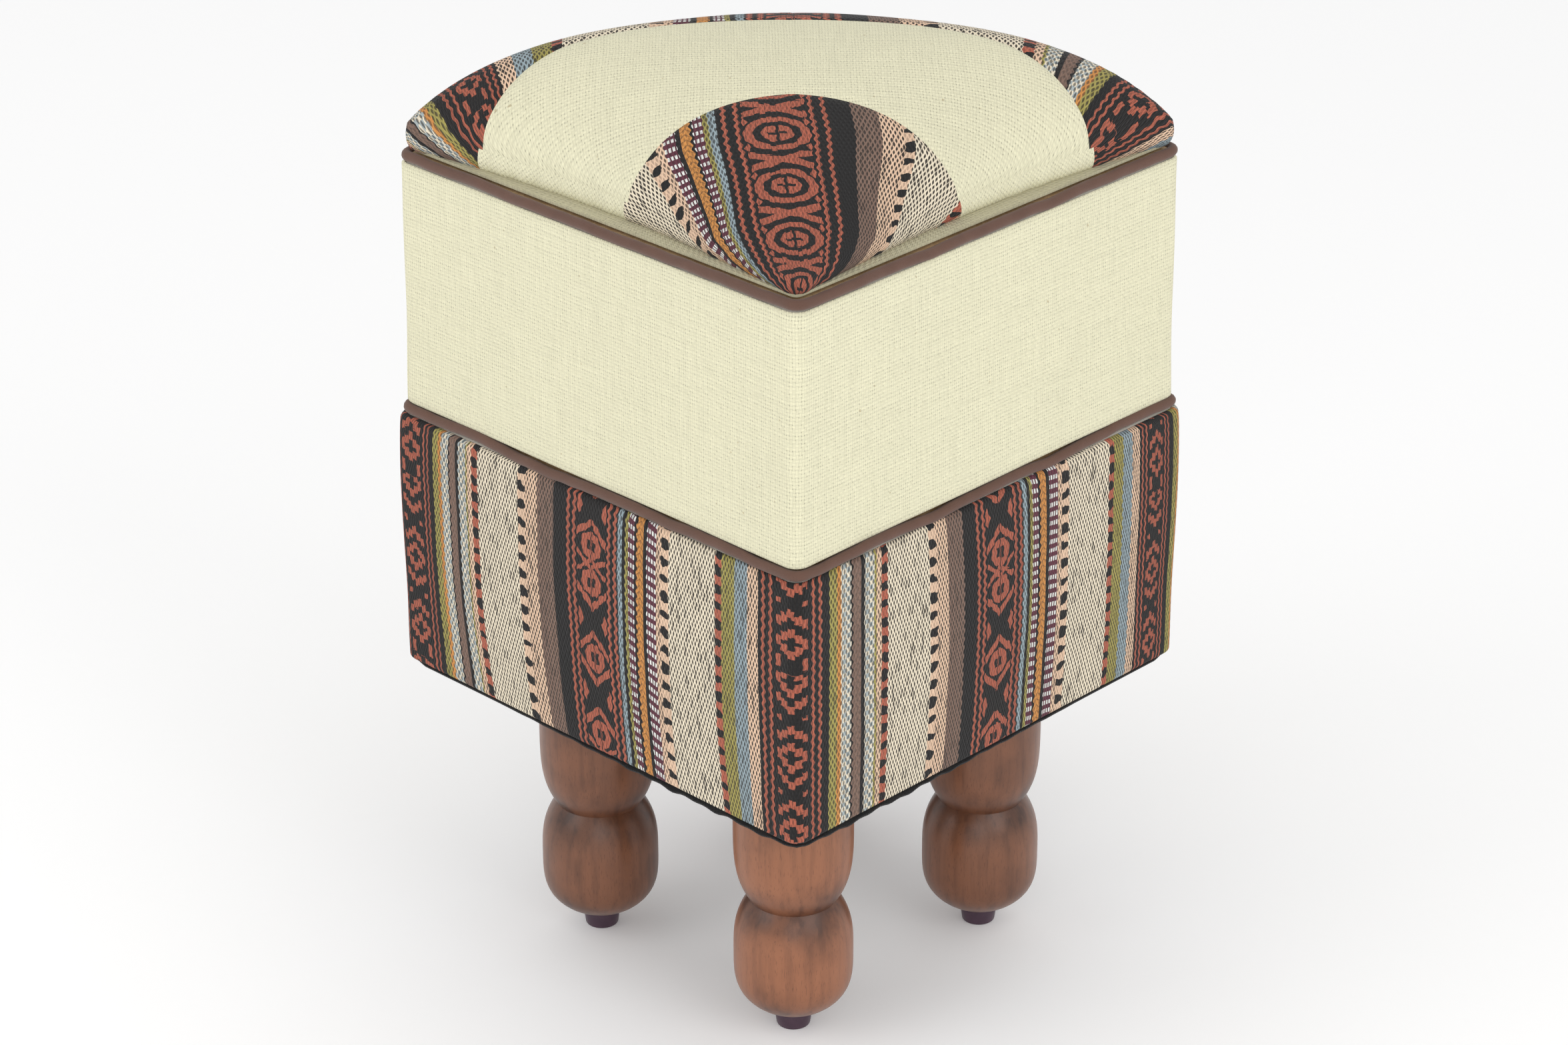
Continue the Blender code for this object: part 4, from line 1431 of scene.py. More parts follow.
    def surface(self) -> Tuple[Array, Array, Array, Array]:
        """Lay out the whole cover on rays from a hub near the front corner.

        Returns:
            Points by ray and station, their places on the unrolled cover (right and back from the front
            corner), the zone of each step between stations, and the zone of each ray's lower edge.
        """
        angles = self.directions()
        angles = np.concatenate([angles, [angles[0] + 2 * math.pi]])
        way = np.stack([np.cos(angles), np.sin(angles)], axis=-1)
        edge = self.edge_reach(way)
        lower = np.full(len(way), int(Zone.BACK))
        arcs = [self.arc_reach(way, centre, radius) for centre, radius in self.seams()]
        for zone, arc in reversed(list(enumerate(arcs))):
            lower[arc >= edge - self.seam_slack] = zone
        limits = [np.where(arc >= edge - self.seam_slack, edge, arc) for arc in arcs]
        limits = [np.zeros(len(way)), *limits, edge]
        even = np.linspace(0.0, 1.0, self.even_steps + 1)
        crowded = np.unique(np.concatenate([even, self.hub_steps, 1 - np.array(self.edge_steps)]))
        radii, zones = [np.zeros(len(way))], []
        for zone, (near, far) in enumerate(zip(limits, limits[1:])):
            for share in crowded[1:]:
                radii.append(near + (far - near) * share)
                zones.append(zone)
        reach = np.stack(radii, axis=1)
        plan = self.hub + way[:, None, :] * reach[..., None]
        share, out, _ = self.outline(plan)
        dip = np.zeros_like(reach)
        for centre, radius in self.seams():
            off = np.linalg.norm(plan - centre, axis=-1) - radius
            dip += self.seam_depth * np.exp(-((off / self.seam_width) ** 2))
        level = self.bottom + self.height(plan)
        points = np.concatenate([plan, level[..., None]], axis=-1) + self.settled(share)
        fade, least = self.seam_fade
        points[..., 2] -= dip * np.clip((1 - out) * fade, least, 1.0)

        rim = points[:, -1, :]
        run = np.roll(rim[:-1, :2], -1, axis=0) - np.roll(rim[:-1, :2], 1, axis=0)
        run = np.concatenate([run, run[:1]])
        outward = np.stack([run[:, 1], -run[:, 0]], axis=-1) / np.linalg.norm(run, axis=1, keepdims=True)
        depth = rim[:, 2] - self.bottom - self.gap / 2
        length = np.cumsum(np.concatenate([[0.0], np.linalg.norm(np.diff(rim[:, :2], axis=0), axis=1)]))
        quick_beat, slow_beat = (np.sin(length * beat) for beat in self.pucker_beats)
        pucker = self.pucker_depth * np.sin(length * 2 * math.pi / self.pucker_pitch + quick_beat) * slow_beat
        skirt = []
        for step in np.linspace(0.0, 1.0, self.skirt_steps + 1)[1:]:
            bulge = self.skirt_bulge * math.sin(math.pi * step) - self.skirt_tuck * step**5
            ring = rim.copy()
            ring[:, :2] += outward * (bulge + pucker * math.sin(math.pi * min(1.0, step * 0.8)))[:, None]
            ring[:, 2] -= depth * step
            skirt.append(ring)
            zones.append(int(Zone.SKIRT))
        points = np.concatenate([points, np.stack(skirt, axis=1)], axis=1)
        steps = np.linalg.norm(np.diff(points, axis=1), axis=-1)
        unrolled = np.concatenate([np.zeros((len(way), 1)), np.cumsum(steps, axis=1)], axis=1)
        top = unrolled[:, : len(radii)]
        flat = way[:, None, :] * top[..., None]
        hang = (unrolled[:, len(radii) :] - top[:, -1:])[..., None]
        flat = np.concatenate([flat, flat[:, -1:, :] + outward[:, None, :] * hang], axis=1)
        first = np.array([self.hub @ self.right_way, self.hub_distance])
        places = np.stack([flat @ self.right_way, flat @ self.back_way], axis=-1) + first
        return points, places, np.array(zones), lower

    def patch_map(self, places: Array) -> Array:
        """Cloth places of the front patch, whose stripes draw together towards the front corner."""
        right, back = places[..., 0], places[..., 1]
        weave = self.finishes.patch_weave
        half = weave.wide_width / 2
        off = right - (self.patch_line[0] - self.patch_line[1] * back)
        inner, outer = (
            least + gain * np.clip(back / reach, 0.0, 1.0)
            for least, gain, reach in (self.patch_inner, self.patch_outer)
        )
        size = np.abs(off)
        across = np.where(size < half * inner, size / inner, half + (size - half * inner) / outer)
        middle = weave.middle_of(Weave.WIDE)
        return np.stack([middle - np.sign(off) * across, back - self.patch_drop], axis=-1)

    def arch_map(self, places: Array) -> Array:
        """Cloth places of the arch band, which lies true."""
        return places

    def back_map(self, places: Array) -> Array:
        """Cloth places of the back panel, whose stripes fan out towards the left and right corners."""
        right, back = places[..., 0], places[..., 1]
        ahead = np.clip(self.fan_line - back, *self.fan_reach)
        lean = np.sign(right) * np.where(right > 0, *self.fan_lean)
        start = right.copy()
        for _ in range(self.fan_rounds):
            turn = np.clip((np.abs(start) - self.fan_start) / self.fan_width, 0.0, 1.0)
            start = right + lean * turn * ahead
        across, cloth = zip(*self.back_stretch)
        return np.stack([np.interp(start, across, cloth), back], axis=-1)

    def build(self) -> List[Piece]:
        """Make the cover's three pieces and the pad under them.

        Returns:
            The pieces.
        """
        self.inflate()
        points, places, zones, lower = self.surface()
        rays, stations = points.shape[:2]
        patch, plain, kilim = self.finishes.kilim_patch, self.finishes.cream, self.finishes.kilim
        names = (
            (Zone.PATCH, "lid_patch_cloth", "lid_front_patch", patch, self.patch_map, Slot.KILIM),
            (Zone.ARCH, "lid_arch_cloth", "lid_arch_band", plain, self.arch_map, Slot.CREAM),
            (Zone.BACK, "lid_back_cloth", "lid_back_panel", kilim, self.back_map, Slot.KILIM),
        )
        flat = points.reshape(-1, 3)
        pad = self.pad(points)
        pieces = []
        for zone, name, node, material, mapping, slot in names:
            faces = []
            for ray in range(rays - 1):
                hem = min(lower[ray], lower[ray + 1])
                for station in range(stations - 1):
                    here = hem if zones[station] == Zone.SKIRT else zones[station]
                    if here == zone:
                        a = ray * stations + station
                        faces.append((a, a + 1, a + stations + 1, a + stations))
            piece = self.sew(name, flat, mapping(places).reshape(-1, 2), faces, material)
            mount(piece, Body.LID, slot, node)
            pieces.append(piece)
        return [*pieces, pad]

    def sew(
        self,
        name: str,
        points: Array,
        places: Array,
        faces: Sequence[Tuple[int, int, int, int]],
        material: Material,
    ) -> Piece:
        """Make one piece of the cover from its share of the faces.

        Args:
            name: The piece's name.
            points: All points of the cover.
            places: Their places on this piece's cloth.
            faces: This piece's faces.
            material: Its cloth.

        Returns:
            The closed piece.
        """
        used = np.unique(np.array(faces))
        index = {int(old): new for new, old in enumerate(used)}
        mesh = sheet_mesh(name, points[used], places[used], [[index[i] for i in face] for face in faces])
        return thicken(add_object(name, mesh, material), self.cloth)

    def pad(self, points: Array) -> Piece:
        """Make the foam under the cover, closed by a flat underside.

        Args:
            points: The cover's points by ray and station.

        Returns:
            The pad, mounted.
        """
        inset = self.cloth + 2 * self.gap
        inner = points[:, ::3, :].copy()
        reach = np.linalg.norm(inner[:, -1:, :2], axis=-1)
        inner[..., :2] *= 1 - inset / reach[..., None]
        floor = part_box("lid_board")[1].z + self.gap
        inner[..., 2] = np.maximum(inner[..., 2] - inset, floor)
        rows, columns = inner.shape[:2]
        flat = np.concatenate([inner.reshape(-1, 3), [[0.0, 0.0, floor]]])
        faces: List[Tuple[int, ...]] = []
        for r in range(rows - 1):
            for c in range(columns - 1):
                a = r * columns + c
                faces.append((a, a + 1, a + columns + 1, a + columns))
            faces.append(((r + 1) * columns - 1, len(flat) - 1, (r + 2) * columns - 1))
        mesh = sheet_mesh("lid_pad", flat, flat[:, :2], faces)
        pad = mount(add_object("lid_pad", mesh, self.finishes.foam), Body.LID, Slot.FOAM, "lid_foam")
        return pad


@dataclass
class Bands:
    """The two cloth bands round the box, the wadding under them and the piping at their tops."""

    finishes: Finishes
    corner_radius: float = 0.008
    upper_cloth: float = 0.0016
    lower_cloth: float = 0.0018
    waist: float = 0.0012
    tuck: float = 0.0034
    roll: float = 0.0045
    draw_in: float = 0.0006
    fold: float = 0.0026
    hem: float = 0.026
    gap: float = 0.0003
    edge_turn: float = 0.0012
    ripple_depth: float = 0.0003
    piping_corner: float = 0.0060
    piping_step: float = 0.0016
    piping_waver: float = 0.0026
    upper_sway: float = 0.0010
    lower_sway: float = 0.0060
    stretch: Knots = (
        (0.0000, -0.0160), (0.0101, 0.0000), (0.0189, 0.0138), (0.0238, 0.0250),
        (0.0293, 0.0318), (0.2500, 0.3055), (0.2674, 0.3271), (0.2994, 0.3587),
        (0.3956, 0.4840), (0.4485, 0.5490), (0.4645, 0.5727), (0.4702, 0.5816),
        (0.4819, 0.6042), (0.4923, 0.6292), (0.5000, 0.6400), (1.0000, 1.1924),
    )
    creep: Knots = (
        (0.000, 0.0020), (0.013, 0.0030), (0.053, 0.0130), (0.083, 0.0105),
        (0.100, 0.0125), (0.128, 0.0070), (0.172, 0.0060), (0.204, 0.0095),
        (0.235, 0.0050), (0.260, 0.0000),
    )
    bulge: Knots = (
        (0.000, 0.0000), (0.082, -0.0010), (0.172, -0.0020), (0.250, 0.0000),
        (0.300, 0.0010), (0.335, 0.0036), (0.376, 0.0034), (0.430, 0.0010),
        (0.500, 0.0000),
    )
    rows: Knots = (
        (0.000, -0.0078), (0.127, 0.0000), (0.250, 0.0088), (0.376, 0.0063),
        (0.479, 0.0019), (1.000, -0.0078),
    )

    def upper_section(self) -> Section:
        """The plain band from its top to its bottom, drawn in a little at the waist."""
        low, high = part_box("upper_cover")
        turn = self.edge_turn
        section = [(high.x - self.waist - turn, self.corner_radius, high.z)]
        for share in np.linspace(0.0, 1.0, 30):
            out = high.x - self.waist * (1 - share**2)
            section.append((out, self.corner_radius, high.z - turn - (high.z - low.z - 2 * turn) * share))
        section.append((high.x - turn, self.corner_radius, low.z))
        return section

    def lower_section(self) -> Section:
        """The kilim band from under its piping to the edge of its hem under the box."""
        low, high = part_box("lower_cover")
        full = high.x
        section = []
        for angle in np.radians(np.linspace(0.0, 90.0, 8)):
            out = full - self.tuck + (self.tuck - self.draw_in) * math.sin(angle)
            section.append((out, self.corner_radius, high.z - self.roll * (1 - math.cos(angle))))
        top, bottom = high.z - self.roll, low.z + self.fold
        for share in np.linspace(0.0, 1.0, 34)[1:]:
            out = full - self.draw_in + self.draw_in * math.sin(math.pi * share**0.6)
            section.append((out, self.corner_radius, top + (bottom - top) * share))
        for angle in np.radians(np.linspace(0.0, 90.0, 7)[1:]):
            out = full - self.draw_in - self.fold * (1 - math.cos(angle))
            section.append((out, self.corner_radius, bottom - self.fold * math.sin(angle)))
        inner = full - self.draw_in - self.hem
        for share in np.linspace(0.0, 1.0, 6)[1:]:
            start = full - self.draw_in - self.fold
            section.append((start + (inner - start) * share, self.corner_radius, low.z))
        return section

    def ripple(self, across: Array, along: Array) -> Array:
        """How far a band stands out or in, at distances round the stool and down the band."""
        return self.ripple_depth * np.sin(across * 41 + 2 * np.sin(along * 23)) * np.sin(along * 37)

    def build(self) -> List[Piece]:
        """Make the bands, wadding and piping.

        Returns:
            The pieces.
        """
        inner = -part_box("front_panel")[0].y + self.gap
        pieces = []
        lay = ClothLay(self.stretch, self.creep, self.bulge, self.rows)
        upper, lower = self.upper_section(), self.lower_section()
        for prefix, section, cloth, material, slot, face, sway in (
            ("upper", upper, self.upper_cloth, self.finishes.cream, Slot.CREAM, None, self.upper_sway),
            ("lower", lower, self.lower_cloth, self.finishes.kilim, Slot.KILIM, lay, self.lower_sway),
        ):
            outer = [(h - cloth - self.gap, max(r - cloth, self.gap), z) for h, r, z in section]
            wadding = self.pad(f"{prefix}_wadding", outer, inner, f"{prefix}_padding")
            band = thicken(ring_sheet(f"{prefix}_band", section, face, self.ripple, material), cloth)
            mount(band, Body.CARCASS, slot, f"{prefix}_cover")
            length = sum(math.hypot(b[0] - a[0], b[2] - a[2]) for a, b in zip(section, section[1:]))
            8 * section[0][0]
            pieces += [band, wadding, self.piping(f"{prefix}_piping", sway)]
        return pieces

    def pad(self, name: str, outer: Section, inner: float, node: str) -> Piece:
        """Make the wadding between the box and a band.

        Args:
            name: The piece's name.
            outer: The wadding's outer side, from the top.
            inner: Half the width of its inner side.
            node: The CAD node that it stands for.

        Returns:
            The wadding, mounted.
        """
        low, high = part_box(node)
        side = [(h, r, z) for h, r, z in outer if low.z <= z <= high.z and h > inner + self.gap]
        back = [(inner, self.gap, z) for _, _, z in reversed(side)]
        ring = ring_sheet(name, [*side, *back, side[0]], None, None, self.finishes.wadding, SquareRun(4, 24))
        return mount(ring, Body.CARCASS, Slot.WADDING, node)

    def piping(self, node: str, sway: float) -> Piece:
        """Sweep a cloth-covered cord round the stool where the frame has it.

        Args:
            node: The CAD node that the cord stands for.
            sway: How far it wanders up and down.

        Returns:
            The cord's piece.
        """
        low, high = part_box(node)
        radius = (high.z - low.z) / 2
        sizes = {
            "Half Side": high.x - radius,
            "Corner": self.piping_corner,
            "Level": (high.z + low.z) / 2,
            "Radius": radius,
            "Waver": self.piping_waver,
            "Sway": sway,
        }
        rig = NodeRig(f"{node}_cord", sizes, self.finishes.piping)
        square = rig.square(rig.size("Half Side"))
        path = rig.out(
            "GeometryNodeFilletCurve", {"mode": "POLY"}, Curve=square, Count=8, Radius=rig.size("Corner")
        )
        path = rig.out("GeometryNodeResampleCurve", {"mode": "LENGTH"}, Curve=path, Length=self.piping_step)
        noise = rig.node("ShaderNodeTexNoise", Scale=38.0, Detail=1.0).outputs[1]
        centred = rig.node("ShaderNodeVectorMath", {"operation": "SUBTRACT"})
        feed(rig.tree, centred.inputs[0], noise)
        feed(rig.tree, centred.inputs[1], (0.5, 0.5, 0.5))
        waver = rig.node("ShaderNodeVectorMath", {"operation": "SCALE"}, Scale=rig.size("Waver"))
        feed(rig.tree, waver.inputs[0], centred.outputs[0])
        path = rig.out("GeometryNodeSetPosition", Geometry=path, Offset=waver.outputs[0])
        slow = rig.out("ShaderNodeTexNoise", Scale=13.0, Detail=0.0)
        wander = (Signal(rig.tree, slow) - 0.5) * rig.size("Sway")
        path = rig.out("GeometryNodeSetPosition", Geometry=path, Offset=rig.vector(z=wander))
        ring = rig.out("GeometryNodeCurvePrimitiveCircle", Resolution=16, Radius=rig.size("Radius"))
        cord = rig.out("GeometryNodeCurveToMesh", Curve=path, Profile_Curve=ring)
        lift = rig.vector(z=rig.size("Level"))
        cord = rig.out("GeometryNodeTransform", Geometry=cord, Translation=lift)
        return mount(rig.make(cord), Body.CARCASS, Slot.PIPING, node)


@dataclass
class Legs:
    """Four turned legs of two bulbs, on plastic glides."""

    finishes: Finishes
    neck_height: float = 0.0712
    neck_radius: float = 0.0245
    foot_radius: float = 0.0135
    top_radius: float = 0.027
    bulb_radius: float = 0.0333
    fullness: float = 3.6
    bolt_bore: float = 0.0043
    bolt_fit: float = 0.93
    nail_bore: float = 0.0016
    bulb_steps: int = 32
    segments: int = 96
    glide_taper: float = 0.0013
    glide_round: float = 0.0010
    glide_hole: float = 0.0016
    glide_counterbore: Pair = (0.0033, 0.0020)
    glide_segments: int = 64

    def bulb(self, bottom: float, top: float, low: float, high: float) -> List[Pair]:
        """Half section of one bulb.

        Args:
            bottom: Its lower end.
            top: Its upper end.
            low: Its radius at the lower end.
            high: Its radius at the upper end.

        Returns:
            Radius and height from the top down.
        """
        points = []
        for step in range(self.bulb_steps + 1):
            angle = math.pi * step / self.bulb_steps
            share = (1 + math.cos(angle)) / 2
            waist = low + (high - low) * share
            swell = 1 - abs(1 - 2 * share) ** self.fullness
            points.append((waist + (self.bulb_radius - waist) * swell, bottom + (top - bottom) * share))
        return points

    def profile(self, foot: float, top: float, bolt_end: float, nail_end: float) -> List[Pair]:
        """Half section of a leg with the bores for its bolt and nail.

        Args:
            foot: The leg's lower end.
            top: Its upper end.
            bolt_end: The bolt's lower end.
            nail_end: The nail's tip.

        Returns:
            Radius and height, from the bolt's bore down the outside to the nail's.
        """
        neck = foot + self.neck_height
        upper = self.bulb(neck, top, self.neck_radius, self.top_radius)
        lower = self.bulb(foot, neck, self.foot_radius, self.neck_radius)
        clear = self.bolt_bore * (1 - self.bolt_fit)
        bolt = [(0.0, bolt_end - clear), (self.bolt_bore, bolt_end - clear), (self.bolt_bore, top)]
        nail = [(self.nail_bore, foot), (self.nail_bore, nail_end + clear), (0.0, nail_end + clear)]
        return bolt + upper + lower[1:] + nail

    def glide(self, low: Vector, high: Vector) -> List[Pair]:
        """Half section of a glide with rounded edges and a stepped hole for its nail."""
        wide = (high.x - low.x) / 2
        narrow = wide - self.glide_taper
        round_over, shank = self.glide_round, self.glide_hole
        head, recess = self.glide_counterbore
        return [
            (shank, high.z),
            (wide - round_over, high.z),
            (wide - round_over * 0.3, high.z - round_over * 0.3),
            (wide, high.z - round_over),
            (narrow, low.z + round_over),
            (narrow - round_over * 0.3, low.z + round_over * 0.3),
            (narrow - round_over, low.z),
            (head, low.z),
            (head, low.z + recess),
            (shank, low.z + recess),
            (shank, high.z),
        ]

    def build(self) -> List[Piece]:
        """Turn the legs and glides.

        Returns:
            The pieces.
        """
        pieces = []
        for place in PLACES:
            low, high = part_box(f"leg_{place}")
            middle = (low + high) / 2
            bolt_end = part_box(f"hanger_bolt_{place}")[0].z
            nail_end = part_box(f"glide_nail_{place}")[1].z
            section = self.profile(low.z, high.z, bolt_end, nail_end)
            leg = lathe(f"turned_leg_{place}", section, middle, self.segments, self.finishes.wood)
            pieces.append(mount(leg, Body.CARCASS, Slot.WOOD, f"leg_{place}"))
            foot = self.glide(*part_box(f"foot_glide_{place}"))
            glide = lathe(f"glide_{place}", foot, middle, self.glide_segments, self.finishes.glide)
            pieces.append(mount(glide, Body.CARCASS, Slot.GLIDE, f"foot_glide_{place}"))
        return pieces


@dataclass
class Storage:
    """The rim's cloth facing and the calico bag inside the box."""

    finishes: Finishes
    lining_radius: float = 0.036
    lining_cloth: float = 0.0012
    rim_cloth: float = 0.0016
    floor_round: float = 0.012
    crease_depth: float = 0.0012
    facing_radius: float = 0.0040
    facing_crown: float = 0.0002

    def crease(self, across: Array, along: Array) -> Array:
        """How far the bag hangs in, at distances round it and down it."""
        folds = np.abs(np.sin(across * 29 + np.sin(along * 17)))
        return -self.crease_depth * folds * np.clip(np.sin(along * 11.0), 0.0, 1.0)

    def build(self) -> List[Piece]:
        """Make the bag and the facing.

        Returns:
            The pieces.
        """
        low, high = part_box("storage_lining")
        straight = high.z - low.z - self.floor_round
        section = [(high.x, self.lining_radius, high.z - straight * s) for s in np.linspace(0.0, 1.0, 40)]
        for angle in np.radians(np.linspace(0.0, 90.0, 8)[1:]):
            inward = self.floor_round * (1 - math.cos(angle))
            level = low.z + self.floor_round * (1 - math.sin(angle))
            section.append((high.x - inward, self.lining_radius - inward, level))
        last_half, last_radius, _ = section[-1]
        for share in np.linspace(1.0, 0.0, 22)[1:]:
            section.append((last_half * share, last_radius * share, low.z))
        run = SquareRun(6, 30)
        bag = ring_sheet("lining_bag", section, None, self.crease, self.finishes.lining, run)
        thicken(bag, self.lining_cloth)
        mount(bag, Body.CARCASS, Slot.LINING, "storage_lining")
        return [bag, self.facing(high.x - self.lining_cloth)]

    def facing(self, opening: float) -> Piece:
        """Make the cloth over the rim, from the piping to the inside of the opening.

        Args:
            opening: Half the width of the opening inside the bag.

        Returns:
            The facing, mounted.
        """
        low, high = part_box("rim_facing")
        corner = self.lining_radius - self.lining_cloth
        section = []
        for share in np.linspace(0.0, 1.0, 9):
            crown = self.facing_crown * math.sin(math.pi * share)
            radius = self.facing_radius + (corner - self.facing_radius) * share
            section.append((high.x + (opening - high.x) * share, radius, high.z + crown))
        section.reverse()
        # The facing's darker cloth is painted shade from the lid above it.
        ring = ring_sheet("rim_cloth", section, None, None, self.finishes.rim, SquareRun(6, 48))
        ring.data.flip_normals()
        facing = thicken(ring, high.z - low.z)
        mount(facing, Body.CARCASS, Slot.CREAM, "rim_facing")
        return facing


@dataclass
class Underside:
    """The cloths under the box and under the lid, and the staples that hold the one under the box."""

    finishes: Finishes
    sag: float = 0.0022
    rim: float = 0.0014
    rim_start: float = 0.90
    corner_cut: float = 0.022
    leg_clearance: float = 0.0015
    leg_hole_lift: float = 0.08
    screw_hole: float = 0.0022
    hole_depth: float = 0.08
    staple_turn: float = 0.25
    staple_inset: float = 0.010
    staple_crown: float = 0.0100
    staple_wire: float = 0.00045
    staple_count: int = 44

    def cloth(
        self, node: str, name: str, steps: int, sag: float, rim: float, material: Material
    ) -> Piece:
        """Make a flat cloth that hangs a little between its edges, as a closed piece.

        Args:
            node: The CAD node that gives its place.
            name: The piece's name.
            steps: How many steps it has each way.
            sag: How far its middle hangs down.
            rim: How far its raw edge reaches out of the node's place and droops.
            material: Its cloth.

        Returns:
            The cloth.
        """
        low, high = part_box(node)
        line = np.linspace(-1.0, 1.0, steps + 1)
        x, y = np.meshgrid(line, line)
        hang = (1 - x**4) * (1 - y**4)
        ripple = 0.35 * np.sin(x * 9 + 1.3 * np.sin(y * 5)) * np.sin(y * 8) * hang
        level = low.z - sag * hang * (0.65 + 0.35 * ripple)
        edge = np.clip((np.maximum(np.abs(x), np.abs(y)) - self.rim_start) / (1 - self.rim_start), 0.0, 1.0)
        flap = 1.1 + 0.35 * np.sin(x * 31 + y * 23) + 0.35 * np.sin(x * 57 - y * 61)
        flap = flap * np.clip((x - y - 0.5) / 0.9, 0.0, 1.0)
        level -= rim * flap * edge**2
        nearness = [np.clip(10 * np.abs(way) - 9, 0.0, 1.0) for way in (x, y)]
        corner = 1 - self.corner_cut * np.prod(nearness, axis=0)
        points = np.stack([x * (high.x + rim) * corner, y * (high.y + rim) * corner, level], axis=-1)
        points = points.reshape(-1, 3)
        mesh = sheet_mesh(name, points, points[:, :2], grid_faces(steps + 1, steps + 1))
        piece = add_object(name, mesh, material)
        if mesh.polygons[0].normal.z > 0:
            mesh.flip_normals()
        return thicken(piece, high.z - low.z)

    def pierce(self, piece: Piece, centre: Vector, radius: float, segments: int) -> None:
        """Cut a round hole through a cloth.

        Args:
            piece: The cloth.
            centre: A point on the hole's axis.
            radius: The hole's radius.
            segments: How many steps the hole's edge has.
        """
        bm = bmesh.new()
        bmesh.ops.create_cone(
            bm, cap_ends=True, segments=segments, radius1=radius, radius2=radius, depth=self.hole_depth
        )
        bmesh.ops.translate(bm, vec=centre, verts=bm.verts)
        mesh = bpy.data.meshes.new("hole")
        bm.to_mesh(mesh)
        bm.free()
        cutter = link("hole", mesh)
        cut = piece.modifiers.new("hole", "BOOLEAN")
        cut.object = cutter
        settle(piece, CRISP_ANGLE)
        bpy.data.objects.remove(cutter, do_unlink=True)

    def staples(self, name: str, half: float, level: float) -> Piece:
        """Set wire staples along a square, crowns down and each a little out of line.

        Args:
            name: The piece's name.
            half: Half the side of their square.
            level: The level of their crowns.

        Returns:
            The staples as one piece.
        """
        sizes = {
            "Half Side": half,
            "Level": level,
            "Count": float(self.staple_count),
            "Crown": self.staple_crown,
            "Wire": self.staple_wire,
            "Turn": self.staple_turn,
            "Seed": 7.0,
        }
        rig = NodeRig(name, sizes, self.finishes.steel)
        path = rig.out("GeometryNodeSubdivideCurve", Curve=rig.square(rig.size("Half Side")), Cuts=20)
        points = rig.node("GeometryNodeCurveToPoints", {"mode": "COUNT"}, Curve=path, Count=rig.size("Count"))
        align = rig.node("FunctionNodeAlignRotationToVector", {"axis": "X", "pivot_axis": "Z"})
        feed(rig.tree, align.inputs["Vector"], points.outputs["Tangent"])
        spin = rig.node("FunctionNodeRandomValue", {"data_type": "FLOAT"}, Seed=rig.size("Seed"))
        limits = [socket for socket in spin.inputs if socket.enabled and socket.name in ("Min", "Max")]
        feed(rig.tree, limits[0], rig.size("Turn") * -1.0)
        feed(rig.tree, limits[1], rig.size("Turn"))
        value = next(socket for socket in spin.outputs if socket.enabled)
        turn = rig.vector(z=value)
        askew = rig.out("FunctionNodeRotateRotation", Rotation=align.outputs[0], Rotate_By=turn)
        half_crown = rig.size("Crown") * 0.5
        left, rise, drop = half_crown * -1.0, rig.size("Wire") * 2.4, rig.size("Wire") * -1.0
        wire = rig.out(
            "GeometryNodeCurvePrimitiveBezierSegment",
            Resolution=9,
            Start=rig.vector(left, 0.0, rise),
            Start_Handle=rig.vector(left, 0.0, drop),
            End_Handle=rig.vector(half_crown, 0.0, drop),
            End=rig.vector(half_crown, 0.0, rise),
        )
        ring = rig.out("GeometryNodeCurvePrimitiveCircle", Resolution=6, Radius=rig.size("Wire"))
        staple = rig.out("GeometryNodeCurveToMesh", Curve=wire, Profile_Curve=ring, Fill_Caps=True)
        spots = points.outputs[0]
        row = rig.out("GeometryNodeInstanceOnPoints", Points=spots, Instance=staple, Rotation=askew)
        lift = rig.vector(z=rig.size("Level"))
        return rig.make(rig.out("GeometryNodeTransform", Geometry=row, Translation=lift))

    def build(self) -> List[Piece]:
        """Make both cloths and the staples of the one under the box.

        Returns:
            The pieces.
        """
        dust = self.cloth("dust_cover", "dust_sheet", 96, self.sag, self.rim, self.finishes.dust)
        for place in PLACES:
            low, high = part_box(f"leg_{place}")
            centre = (low + high) / 2 + Vector((0.0, 0.0, self.leg_hole_lift))
            self.pierce(dust, centre, (high.x - low.x) / 2 + self.leg_clearance, 48)
        mount(dust, Body.CARCASS, Slot.DUST, "dust_cover")
        low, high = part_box("dust_cover")
        leg_low, leg_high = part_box("leg_front_right")
        hole = math.pi * (leg_high.x - leg_low.x) ** 2
        side = 2 * (high.x + self.rim)
        side**2 - hole
        tacks = self.staples("dust_staples", high.x - self.staple_inset, low.z)
        mount(tacks, Body.CARCASS, Slot.STEEL)

        under = self.cloth("lid_under_cloth", "lid_under_sheet", 24, 0.0, 0.0, self.finishes.lining)
        for face in SIDES:
            for end in SCREW_ENDS:
                first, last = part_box(f"batten_screw_{face}_{end}")
                self.pierce(under, (first + last) / 2, self.screw_hole, 12)
        mount(under, Body.LID, Slot.LINING, "lid_under_cloth")
        low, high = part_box("lid_under_cloth")
        return [dust, tacks, under]


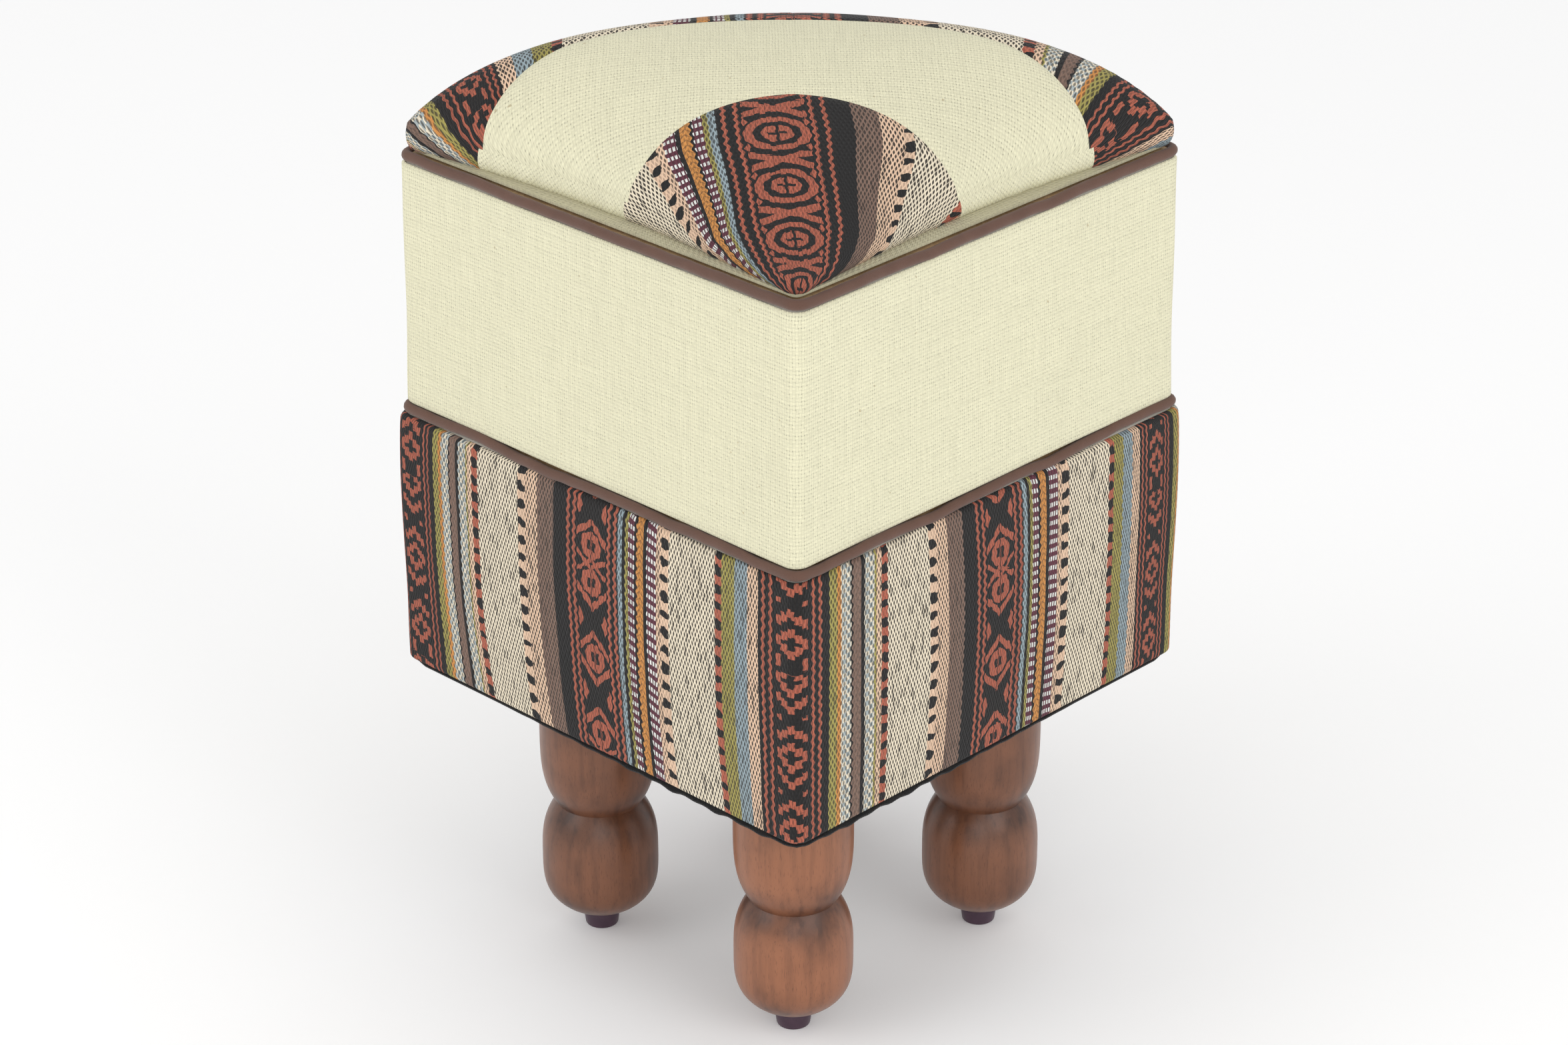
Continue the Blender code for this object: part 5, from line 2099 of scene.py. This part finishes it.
@dataclass
class Fixings:
    """The frame's own solids that keep their shape: boards, blocks, battens and metal fixings."""

    finishes: Finishes

    def dress(self) -> None:
        """Give each kept solid its finish."""
        wood = [f"{side}_panel" for side in SIDES] + [f"lid_batten_{side}" for side in SIDES]
        wood += ["base_panel", "lid_board"] + [f"corner_block_{place}" for place in PLACES]
        metal = [f"{kind}_{place}" for kind in ("glide_nail", "hanger_bolt", "tee_nut") for place in PLACES]
        metal += [f"batten_screw_{side}_{end}" for side in SIDES for end in SCREW_ENDS]
        for names, material, slot in (
            (wood, self.finishes.plywood, Slot.PLYWOOD),
            (metal, self.finishes.steel, Slot.STEEL),
        ):
            for name in names:
                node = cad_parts[name]
                node.data.materials.clear()
                node.data.materials.append(material)
        LOG.info("%d boards and %d fixings dressed", len(wood), len(metal))


@dataclass
class Studio:
    """A pale floor, soft light and the photograph's viewpoint."""

    image_width: int = 2352
    lens: float = 102.8
    sensor: float = 36.0
    azimuth: float = 44.095
    elevation: float = 26.671
    roll: float = -0.04
    distance: float = 2.4933
    target_height: float = 0.2473
    axis_right: float = 9.07
    axis_down: float = 24.34
    floor_size: float = 9.0
    floor_tones: Pair = (0.97, 0.99)
    floor_glow: float = 0.06
    sky_strength: float = 0.84
    aim_height: float = 0.3

    def build(self) -> None:
        """Make the floor, the lights and the camera."""
        self.floor()
        self.lights()
        self.camera()

    def camera(self) -> None:
        """Set the camera where the photograph was taken from."""
        turn, rise = math.radians(self.azimuth), math.radians(self.elevation)
        back = Vector((math.sin(turn) * math.cos(rise), -math.cos(turn) * math.cos(rise), math.sin(rise)))
        data = bpy.data.cameras.new("camera")
        data.lens = self.lens
        data.sensor_width = self.sensor
        data.shift_x = -self.axis_right / self.image_width
        data.shift_y = self.axis_down / self.image_width
        camera = link("camera", data)
        look = (-back).to_track_quat("-Z", "Y").to_matrix().to_4x4()
        tilt = Matrix.Rotation(math.radians(self.roll), 4, "Z")
        place = Matrix.Translation(Vector((0.0, 0.0, self.target_height)) + back * self.distance)
        camera.matrix_world = place @ look @ tilt
        bpy.context.scene.camera = camera

    def floor(self) -> None:
        """Lay a wide pale floor."""
        bm = bmesh.new()
        bmesh.ops.create_grid(bm, x_segments=8, y_segments=8, size=self.floor_size)
        mesh = bpy.data.meshes.new("floor")
        bm.to_mesh(mesh)
        bm.free()
        surface = Surface("pale_floor", roughness=0.85)
        cloud = surface.noise(surface.place(), 0.6)
        surface.give(Emission_Color=(1.0, 1.0, 1.0, 1.0), Emission_Strength=self.floor_glow)
        colour = surface.blend(cloud, *((tone, tone, tone, 1.0) for tone in self.floor_tones))
        add_object("floor", mesh, surface.done(colour))

    def lights(self) -> None:
        """Light the stool softly from above and from both sides of the camera."""
        world = bpy.data.worlds.new("studio")
        world.use_nodes = True
        sky = world.node_tree.nodes["Background"]
        sky.inputs["Color"].default_value = (1.0, 1.0, 1.0, 1.0)
        sky.inputs["Strength"].default_value = self.sky_strength
        scene = bpy.context.scene
        scene.world = world
        scene.view_settings.view_transform = "Standard"
        aim = Vector((0.0, 0.0, self.aim_height))
        for name, place, size, power in (
            ("key", (-0.9, -2.2, 1.5), 1.8, 11.0),
            ("fill", (2.4, -0.2, 1.5), 1.8, 13.0),
            ("front", (1.7, -1.8, 1.0), 1.4, 6.0),
        ):
            data = bpy.data.lights.new(name, "AREA")
            data.shape = "DISK"
            data.size = size
            data.energy = power
            light = link(name, data)
            light.location = place
            light.rotation_euler = (aim - Vector(place)).to_track_quat("-Z", "Y").to_euler()


def main() -> None:
    """Build every part of the stool and its studio, then log how many pieces were made."""
    logging.basicConfig(level=logging.INFO, format="%(name)s: %(message)s")
    finishes = Finishes()
    Studio().build()
    pieces: List[Piece] = []
    for kind in (Legs, Bands, Storage, LidCushion, Underside):
        pieces += kind(finishes).build()
    Fixings(finishes).dress()
    LOG.info("%d pieces made", len(pieces))


if __name__ == "__main__":
    main()
